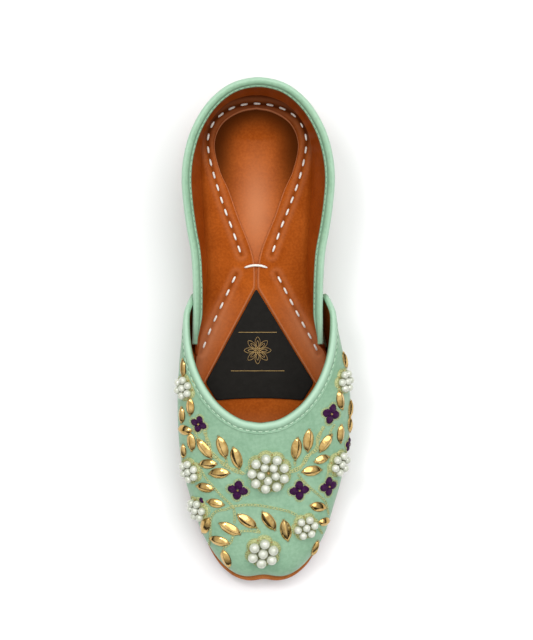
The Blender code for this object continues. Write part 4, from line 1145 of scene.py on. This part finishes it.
makeSock(sock)
makeSockStitches(sockStitch)


def labelOutline(count):
    # Triangle with rounded corners and a base arched as 1 - t^2
    half, middle = label["width"] / 2.0, -last["heelSwing"] * 0.5
    tip, base = labelLevels()
    corner = base + label["corner"] * label["width"]
    turn = np.linspace(-1.0, 1.0, 25)
    arch = np.stack((middle + half * label["archWide"] * turn,
                     base + label["arch"] * label["width"] * (1.0 - turn**2)), axis=-1)
    ring = np.vstack(((-last["heelSwing"], tip), (middle - half, corner), arch, (middle + half, corner),
                      (-last["heelSwing"], tip)))
    return softened(along(ring, evenly(count + 1)[:-1]), 6)


def labelUnder(x, y):
    return footbedTop(x, y) + last["gap"] / 2.0


def labelTop(x, y):
    return labelUnder(x, y) + label["thickness"]


def makeLabel(sizes):
    ring = labelOutline(300)
    points, quads = plate(ring, roundedRim(sizes["edgeRound"], sizes["thickness"], 4),
                          ring.mean(axis=0)[None], tuple(np.linspace(0.0, 0.97, 14)), labelTop,
                          labelUnder)
    addPiece("labelCloth", points, quads, labelCloth, "label_cloth", ["label"], weld=True)


labelMark = {"line": 0.00024, "proud": 0.00006, "sunk": 0.00003, "centre": (-0.0030, -0.0075),
             "rules": ((0.0016, 0.0096), (-0.0178, 0.0134)), "rings": (0.0011, 0.000495),
             "petals": 8, "petalIn": 0.0016, "petalOut": 0.0068, "petalWide": 0.0013,
             # outer and inner outline of a petal: share of its reach, of its width
             "outlines": ((1.0, 1.0), (0.72, 0.45)), "petalLine": 0.8}


def flatLine(x, y, width, closed=False):
    # Thin raised line on the label: half-round section of the given width along a flat path
    path = np.stack((x, y), -1)
    if closed:
        path = np.vstack((path, path[:1]))
    run = np.gradient(path, axis=0)
    if closed:
        run[0] = run[-1] = path[1] - path[-2]
    run = unit(run)
    side = np.stack((run[:, 1], -run[:, 0]), axis=-1)
    turn = np.linspace(0.0, math.pi, 5)
    flat = path[:, None] + side[:, None] * (np.cos(turn) * width / 2.0)[None, :, None]
    sunk, tall = labelMark["sunk"], labelMark["proud"] + labelMark["sunk"]
    level = labelTop(flat[..., 0], flat[..., 1]) - sunk + np.sin(turn)[None] * tall
    return tube(np.concatenate((flat, level[..., None]), axis=-1))


def makeLabelMark(sizes):
    # Two fine rules and a plain eight-part rosette between them: each petal is an outline of
    # reach middle + half cos t and half width wide sin t |sin t|^0.5, turned to its place
    cx, cy = sizes["centre"]
    shapes = [flatLine(np.linspace(cx - half, cx + half, 40), np.full(40, level), sizes["line"])
              for level, half in sizes["rules"]]
    t = anglesOf(60)
    middle = (sizes["petalIn"] + sizes["petalOut"]) / 2.0
    outward = middle + (sizes["petalOut"] - middle) * np.cos(t)
    beside = sizes["petalWide"] * np.sin(t) * np.abs(np.sin(t))**0.5
    for turn in anglesOf(sizes["petals"]):
        for reach, spread in sizes["outlines"]:
            u, v = outward * reach, beside * spread
            shapes.append(flatLine(cx + u * math.cos(turn) - v * math.sin(turn),
                                   cy + u * math.sin(turn) + v * math.cos(turn),
                                   sizes["line"] * sizes["petalLine"], True))
    for radius in sizes["rings"]:
        shapes.append(flatLine(cx + radius * np.cos(t), cy + radius * np.sin(t), sizes["line"], True))
    points, quads = joinShapes(shapes)
    addPiece("labelMark", points, quads, goldFoil, "label_cloth", weld=True)


makeLabel(label)
makeLabelMark(labelMark)
print("footbed, sock and label made")

# Embroidery: everything is placed on a chart seen from one point high above the pair

chart = {"eye": (-0.0424, 0.0076, 1.3), "level": 0.0250, "step": last["ballWidth"] / 169.2,
         "row": last["vampLength"] / 161.5, "middle": 351.9, "toe": 583.3, "steep": 0.35,
         "facing": 20.0, "reach": 0.012, "looks": 8, "lookAt": 0.0045, "deepest": -0.003}

leafRows = (
    (270.6, 367.5, 90, 0.75), (277.6, 406.4, 90, 0.75), (269.3, 414.5, 90, 0.7),
    (271.6, 429.5, 10, 0.8), (278.6, 441.5, 96, 0.8), (291.7, 448.1, -48, 1.0),
    (309.5, 446.6, -71, 1.0), (323.6, 457.5, -74, 1.0), (270.8, 450.5, 90, 0.62),
    (295.1, 463.4, 10, 0.8), (306.4, 472.6, 9, 0.9), (302.6, 502.6, -5, 0.75),
    (292.1, 487.0, 0, 0.8), (334.0, 520.6, -36, 1.0), (317.0, 528.1, -26, 1.0),
    (306.3, 540.4, -2, 0.9), (356.0, 520.4, -57, 1.0), (372.8, 529.9, -78, 1.0),
    (292.4, 525.3, 66, 1.0), (313.1, 558.4, -73, 0.9), (431.4, 360.0, -72, 0.7),
    (427.5, 400.0, -75, 0.85), (437.0, 408.5, 90, 0.7), (437.5, 424.5, -63, 0.7),
    (427.8, 433.5, 88, 0.8), (412.8, 442.7, 50, 0.9), (395.3, 440.2, 87, 1.0),
    (383.4, 448.5, 85, 1.0), (408.8, 458.9, 10, 0.7), (399.0, 470.4, -2, 0.9),
    (405.4, 506.4, -20, 0.8), (412.0, 521.4, -20, 0.7), (402.2, 547.8, 67, 0.77),
)
# x, y, pearls in the ring, its radius, pearl size, inner pearls, their radius, turn; in chart steps
pearlRows = (
    (355.5, 471.5, 9, 16.4, 9.7, 5, 7.6, 20), (350.0, 550.9, 6, 11.0, 10.5, 1, 0.0, 22),
    (392.2, 526.2, 6, 8.8, 8.0, 1, 0.0, 8), (285.2, 508.4, 6, 8.4, 7.8, 1, 0.0, 15),
    (277.9, 470.0, 6, 8.1, 7.7, 1, 0.0, 35), (425.9, 462.9, 6, 8.6, 8.0, 1, 0.0, 12),
    (272.2, 387.2, 6, 7.9, 7.5, 1, 0.0, 25), (430.9, 380.9, 6, 7.9, 7.5, 1, 0.0, 5),
)
petalRows = ((286.0, 423.5, -12, 0.85), (418.3, 413.6, -18, 1.0), (434.8, 444.0, 0, 0.7),
             (324.9, 489.6, -8, 1.0), (386.5, 490.0, 3, 1.0), (415.9, 486.1, 0, 1.0))


def treeOf(grid):
    # Search tree over a wall's cells
    points = grid.reshape(-1, 3)
    return BVHTree.FromPolygons(points.tolist(), gridQuads(*grid.shape[:2]).tolist())


vampTree = treeOf(vampSurface)


def onVamp(x, y):
    # Where the line from the eye through a chart place meets the vamp, and the outward normal there
    eye = Vector(chart["eye"])
    place = Vector(((x - chart["middle"]) * chart["step"], toeY + (chart["toe"] - y) * chart["row"],
                    chart["level"]))
    spot, normal = vampTree.ray_cast(eye, (place - eye).normalized())[:2]
    if spot is None:
        spot, normal = vampTree.find_nearest(place)[:2]
    if normal.z + normal.x * place.x * chart["facing"] < 0.0:
        normal = -normal
    return spot, normal


def seat(x, y, turn):
    # Level frame on the vamp at a chart place, and how the leather bends there: height =
    # a u^2 + b u v + c v^2 + d u + e v by least squares, from looks in a ring round the place
    spot, normal = onVamp(x, y)
    lateral = Vector((1.0, 0.0, 0.0)) - normal * normal.x
    if lateral.length < chart["steep"]:
        down = Vector((0.0, 0.0, -math.copysign(1.0, spot.x)))
        lateral = down - normal * down.dot(normal)
    lateral.normalize()
    angle = math.radians(turn)
    across = lateral * math.cos(angle) + normal.cross(lateral) * math.sin(angle)
    beside = normal.cross(across)
    looks = []
    for step in range(chart["looks"]):
        angle = step * 2.0 * math.pi / chart["looks"]
        u, v = chart["lookAt"] * math.cos(angle), chart["lookAt"] * math.sin(angle)
        start = spot + across * u + beside * v
        hit = vampTree.ray_cast(start + normal * chart["reach"], -normal, 2.0 * chart["reach"])[0]
        height = (hit - start).dot(normal) if hit else 0.0
        looks.append((u * u, u * v, v * v, u, v, max(height, chart["deepest"])))
    looks = np.array(looks)
    bend = np.linalg.lstsq(looks[:, :5], looks[:, 5], rcond=None)[0]
    return np.array(spot), np.array(across), np.array(beside), np.array(normal), bend


def laid(place, u, v, high):
    # Points over a seat at (u, v), high above the bent leather
    spot, across, beside, normal, bend = place
    u, v, high = np.broadcast_arrays(u, v, high)
    under = bend[0] * u * u + bend[1] * u * v + bend[2] * v * v + bend[3] * u + bend[4] * v
    return spot + u[..., None] * across + v[..., None] * beside + (under + high)[..., None] * normal


leaf = {"length": 0.0117, "width": 0.0056, "height": 0.0019, "seat": 0.00030, "under": 0.00005,
        "round": 2.4, "point": 0.74, "roof": 0.55, "fall": 0.75, "top": 0.92, "steps": 31, "across": 17,
        # a small leaf is wider and taller than its length says: share at size 0, growth with size
        "widths": (0.30, 0.75), "heights": (0.55, 0.45)}
# threads at both ends of a leaf: from its slope (way in, up) to the leather (way out, up), and how they
# spread from the middle
leafTie = {"slope": (-0.0011, 0.00085), "foot": (0.0007, 0.00012), "apart": (0.000088, 0.000484),
           "thread": 0.00020, "rise": 0.00035}


def makeLeaf(number, row, sizes, tie):
    # Pointed dome: half width (1 - |t|^round)^point, height of a round section mixed with a ridged roof
    x, y, turn, size = row
    place = seat(x, y, turn)
    t = np.linspace(-1.0, 1.0, sizes["steps"])
    t = (np.sign(t) * (1.0 - (1.0 - np.abs(t))**1.5))[:, None]
    s = np.linspace(-1.0, 1.0, sizes["across"])[None]
    narrow = (1.0 - np.abs(t)**sizes["round"])**sizes["point"]
    wide, tall = (low + growth * size for low, growth in (sizes["widths"], sizes["heights"]))
    half = sizes["length"] / 2.0 * size
    u, v = t * half, narrow * s * sizes["width"] / 2.0 * min(1.0, wide)
    section = (1.0 - sizes["roof"]) * np.sqrt(1.0 - s**2) + sizes["roof"] * (1.0 - np.abs(s))
    over = sizes["height"] * tall * narrow**sizes["fall"] * section * sizes["top"]
    dome = shell(laid(place, u, v, sizes["seat"] + over), laid(place, u, v, sizes["under"]))
    addPiece(f"leafBead_{number:02d}", *dome, gold, "gold_bead", [f"leaf_{number:02d}"], weld=True)
    ends = []
    for end in (-1.0, 1.0):
        for side in (-1.0, 1.0):
            start, stop = (laid(place, end * (half + out), side * apart, up)
                           for (out, up), apart in zip((tie["slope"], tie["foot"]), tie["apart"]))
            ends.append((start, stop, place[3]))
    return ends


leafTies = []
for number, row in enumerate(leafRows, 1):
    leafTies += makeLeaf(number, row, leaf, leafTie)
starts, ends, normals = np.array(leafTies).swapaxes(0, 1)
points, quads = stitches(starts, ends, normals, leafTie["thread"], leafTie["rise"], 6, 5, 1.0)
addPiece("leafTies", points, quads, goldFoil, "gold_bead")
print("leaf beads made")

pearlSet = {"pad": 0.00045, "padOver": 0.00006, "padUnder": -0.00025, "seat": 0.0003, "bedded": 0.6,
            "sunk": 0.84, "around": 20, "up": 12, "inner": 0.90, "innerTurn": 0.42, "scallop": 0.62,
            "knot": 0.00042, "knotReach": 0.55, "knotUp": 0.0003, "middleKnot": 0.00085,
            "middleUp": 0.0012}
pearlEdge = {"link": 0.00165, "wide": 0.00105, "thread": 0.00019, "lap": 0.82, "up": 0.00010}


def balls(centres, radii, up, around):
    # Spheres: centre + radius (cos a cos b, cos a sin b, sin a) in rings of latitude a
    a = np.linspace(-math.pi / 2.0, math.pi / 2.0, up)[:, None]
    b = anglesOf(around)[None]
    ball = np.stack((np.cos(a) * np.cos(b), np.cos(a) * np.sin(b), np.sin(a) + 0.0 * b), axis=-1)
    points = centres[:, None] + ball.reshape(1, -1, 3) * np.asarray(radii)[:, None, None]
    quads = repeatQuads(gridQuads(up, around, wrapColumns=True), len(centres), up * around)
    return points.reshape(-1, 3), quads


def linksAlong(path, normals, sizes, lap):
    # Chain links one after another along a path in space, each lapped into the next
    reach = reachAlong(path, 3)
    long = sizes["link"]
    count = max(int(round(reach[-1] / (long * lap))), 1)
    at = (np.arange(count) + 0.5) / count * reach[-1]
    both = np.hstack((path, normals))
    mid, ahead, behind = (readCurve(both, reach, at + move) for move in (0.0, long / 3.0, -long / 3.0))
    return chainLinks(mid[:, :3], ahead[:, :3] - behind[:, :3], unit(mid[:, 3:]), long,
                      sizes["wide"], sizes["thread"])


def linksRound(place, reach, a, sizes):
    # Closed chain over a seat: (reach cos a, reach sin a)
    path = laid(place, reach * np.cos(a), reach * np.sin(a), sizes["up"])
    path = np.vstack((path, path[:1]))
    return linksAlong(path, np.tile(place[3], (len(path), 1)), sizes, sizes["lap"])


edging, knots = [], []


def addKnots(place, u, v, up, radius):
    # Small gold beads over a seat, kept for one piece
    centres = laid(place, np.atleast_1d(u), np.atleast_1d(v), up)
    knots.append((centres, np.full(len(centres), radius)))


def makePearlFlower(number, row, sizes):
    # Pearls in a ring round one pearl or a smaller ring, on a pad of thread whose edge is scalloped as
    # reach + radius (s + s |cos(n a / 2)|^0.7) and whose height swells as (1 - r^4)^0.5
    x, y, count, reach, size, inner, innerReach, spin = row
    place = seat(x, y, spin)
    reach, innerReach, radius = (value * chart["step"] for value in (reach, innerReach, size / 2.0))
    turn = anglesOf(count)
    small = (np.arange(inner) + sizes["innerTurn"]) * 2.0 * math.pi / inner
    u, v = (np.r_[reach * wave(turn), innerReach * wave(small)] for wave in (np.cos, np.sin))
    smaller = radius * (sizes["inner"] if inner > 1 else 1.0)
    radii = np.r_[np.full(count, radius), np.full(inner, smaller)]
    centres = laid(place, u, v, sizes["seat"] + sizes["pad"] * sizes["bedded"] + radii * sizes["sunk"])
    addPiece(f"pearlFlower_{number}", *balls(centres, radii, sizes["up"], sizes["around"]), pearl,
             "pearl_bead", [f"pearl_flower_{number}"], weld=True)
    a = anglesOf(12 * count)
    scallop = reach + radius * sizes["scallop"] * (1.0 + np.abs(np.cos(count * a / 2.0))**0.7)
    edging.append(linksRound(place, scallop, a, pearlEdge))
    ring = evenly(12)[:, None]
    padU, padV = ring * scallop * np.cos(a), ring * scallop * np.sin(a)
    top = laid(place, padU, padV, sizes["pad"] * np.sqrt(1.0 - ring**4) + sizes["padOver"])
    under = laid(place, padU, padV, sizes["padUnder"])
    addPiece(f"pearlPad_{number}", *tube(np.concatenate((top, under[::-1]))), oliveZari,
             "satin_thread", weld=True)
    between = turn + math.pi / count
    knotReach = np.repeat((reach + radius * sizes["knotReach"], reach * sizes["knotReach"]), count)
    between = np.r_[between, between]
    addKnots(place, knotReach * np.cos(between), knotReach * np.sin(between),
             sizes["pad"] + sizes["knotUp"], sizes["knot"])
    if inner > 1:
        addKnots(place, 0.0, 0.0, sizes["pad"] + sizes["middleUp"], sizes["middleKnot"])


for number, row in enumerate(pearlRows, 1):
    makePearlFlower(number, row, pearlSet)

petal = {"reach": 0.0052, "drawn": 0.98, "width": 0.0043, "height": 0.0012, "start": 0.0005,
         "seat": 0.00015, "under": -0.0001, "fibres": 9.0, "slant": 0.35, "knot": 0.00055,
         "knotUp": 0.0007, "lobe": (0.50, 0.60)}
petalEdge = {"link": 0.0014, "wide": 0.0008, "thread": 0.00014, "lap": 0.82, "up": 0.00010}
stray = {"place": (287.0, 496.0, -55.0), "reach": 0.0036, "width": 0.0020}


def petalShape(place, angle, reach, wide, sizes):
    # Egg-shaped satin pad: half width n = sin(pi t^0.9)^0.5, height of a low dome n^0.8 (1 - s^2)^0.5
    t = evenly(19)[:, None]
    s = np.linspace(-1.0, 1.0, 13)[None]
    narrow = np.maximum(np.sin(math.pi * t**0.9), 0.0)**0.5
    u, v = sizes["start"] + (reach - sizes["start"]) * t, narrow * s * wide / 2.0
    high = sizes["height"] * narrow**0.8 * np.sqrt(1.0 - s**2)
    turned = (u * math.cos(angle) - v * math.sin(angle), u * math.sin(angle) + v * math.cos(angle))
    fibre = (s + sizes["slant"] * t) * sizes["fibres"] * math.pi
    return (shell(laid(place, *turned, high + sizes["seat"]), laid(place, *turned, sizes["under"])),
            np.r_[fibre.ravel(), fibre.ravel()])


def makePetalFlower(number, row, sizes):
    # Four petals, a small bead in the middle and a thread outline of reach (a + b |cos 2 a|^0.8)
    x, y, turn, size = row
    place = seat(x, y, turn)
    made = [petalShape(place, k * math.pi / 2.0, sizes["reach"] * size * sizes["drawn"],
                       sizes["width"] * size, sizes) for k in range(4)]
    points, quads = joinShapes([shape for shape, fibre in made])
    addPiece(f"petalFlower_{number}", points, quads, satin, "satin_thread", [f"petal_flower_{number}"],
             {"fibre": np.concatenate([fibre for shape, fibre in made])}, weld=True)
    a = anglesOf(96)
    low, more = sizes["lobe"]
    lobe = sizes["reach"] * size * (low + more * np.abs(np.cos(2.0 * a))**0.8)
    edging.append(linksRound(place, lobe, a, petalEdge))
    addKnots(place, 0.0, 0.0, sizes["knotUp"], sizes["knot"])


for number, row in enumerate(petalRows, 1):
    makePetalFlower(number, row, petal)
strayShape, strayFibre = petalShape(seat(*stray["place"]), 0.0, stray["reach"], stray["width"], petal)
addPiece("strayPetal", *strayShape, satin, "satin_thread", marks={"fibre": strayFibre}, weld=True)
centres, radii = zip(*knots)
addPiece("goldKnots", *balls(np.vstack(centres), np.concatenate(radii), 7, 8), goldFoil, "gold_bead",
         weld=True)
print("flowers made")

# vines of chain stitch: the links' width as a share, then chart points
vines = (
    (1.0, (320, 505.8), (332, 504.4), (345, 504.7), (361, 507.5), (377, 511.4), (384, 515)),
    (1.0, (288.3, 468.8), (293, 477), (300.5, 486), (310, 496.5), (320.2, 506.5), (321.9, 516.3),
     (321.6, 522.3)),
    (1.0, (320, 506), (313.2, 508.6), (303, 511), (298.4, 517.6), (297.7, 533.2), (296.7, 544.4)),
    (1.0, (311, 547), (318, 541.6), (321, 534.5), (327.2, 531), (337, 530.2), (347.2, 531.8)),
    (0.8, (343.3, 526.1), (345, 529), (347.2, 531.8)),
    (1.5, (330.8, 473), (323.5, 470.2), (317, 467.5), (311, 463.5), (305.8, 458.8), (298.9, 452),
     (296, 443.5), (293.3, 435), (292, 430)),
    (1.0, (280.1, 426.9), (283.9, 435), (288.3, 440.6)),
    (1.0, (313.3, 457.5), (314, 462), (315.1, 466.3)),
    (1.5, (376.9, 471.4), (382, 469.6), (386.7, 467.2), (391, 462), (394.1, 456.7), (398.5, 452.5),
     (403.3, 448.8), (405.1, 437.8), (410.6, 426.7)),
    (1.0, (421.6, 424.3), (419, 428.5), (416.7, 432.9)),
    (1.0, (381.8, 460.4), (381.9, 462.5), (382, 465)),
    (0.9, (385, 473.6), (390, 480), (395.7, 486), (402, 491.5), (408.2, 496.8), (412.1, 500.7),
     (415.6, 514)),
    (0.9, (405.8, 528), (407.5, 530.5), (409.3, 533)),
    (0.9, (415.5, 469), (414.9, 472.5), (414.3, 475.7)),
)
vine = {"link": 0.0019, "wide": 0.00105, "thread": 0.00021, "lap": 0.82, "twistLap": 0.72,
        "up": 0.00012, "twist": 0.0022, "swing": 0.00055, "double": 1.3}


def vineShape(thick, path, sizes):
    # Links along a chart curve; a thick vine has two rows that twist together, line +- side sin(reach)
    spots, normals = zip(*(onVamp(x, y) for x, y in spline(path, 60)))
    normals = np.array(normals)
    line = np.array(spots) + normals * sizes["up"]
    if thick < sizes["double"]:
        return [linksAlong(line, normals, sizes | {"wide": sizes["wide"] * thick}, sizes["lap"])]
    side = unit(np.cross(normals, np.gradient(line, axis=0)))
    swing = np.sin(reachAlong(line, 3) / sizes["twist"])[:, None] * sizes["swing"]
    return [linksAlong(line + side * swing * way, normals, sizes, sizes["twistLap"]) for way in (-1, 1)]


vineShapes = [shape for thick, *path in vines for shape in vineShape(thick, path, vine)]
addPiece("chainStitch", *joinShapes(vineShapes + edging), zari, "satin_thread")
print("vines made")
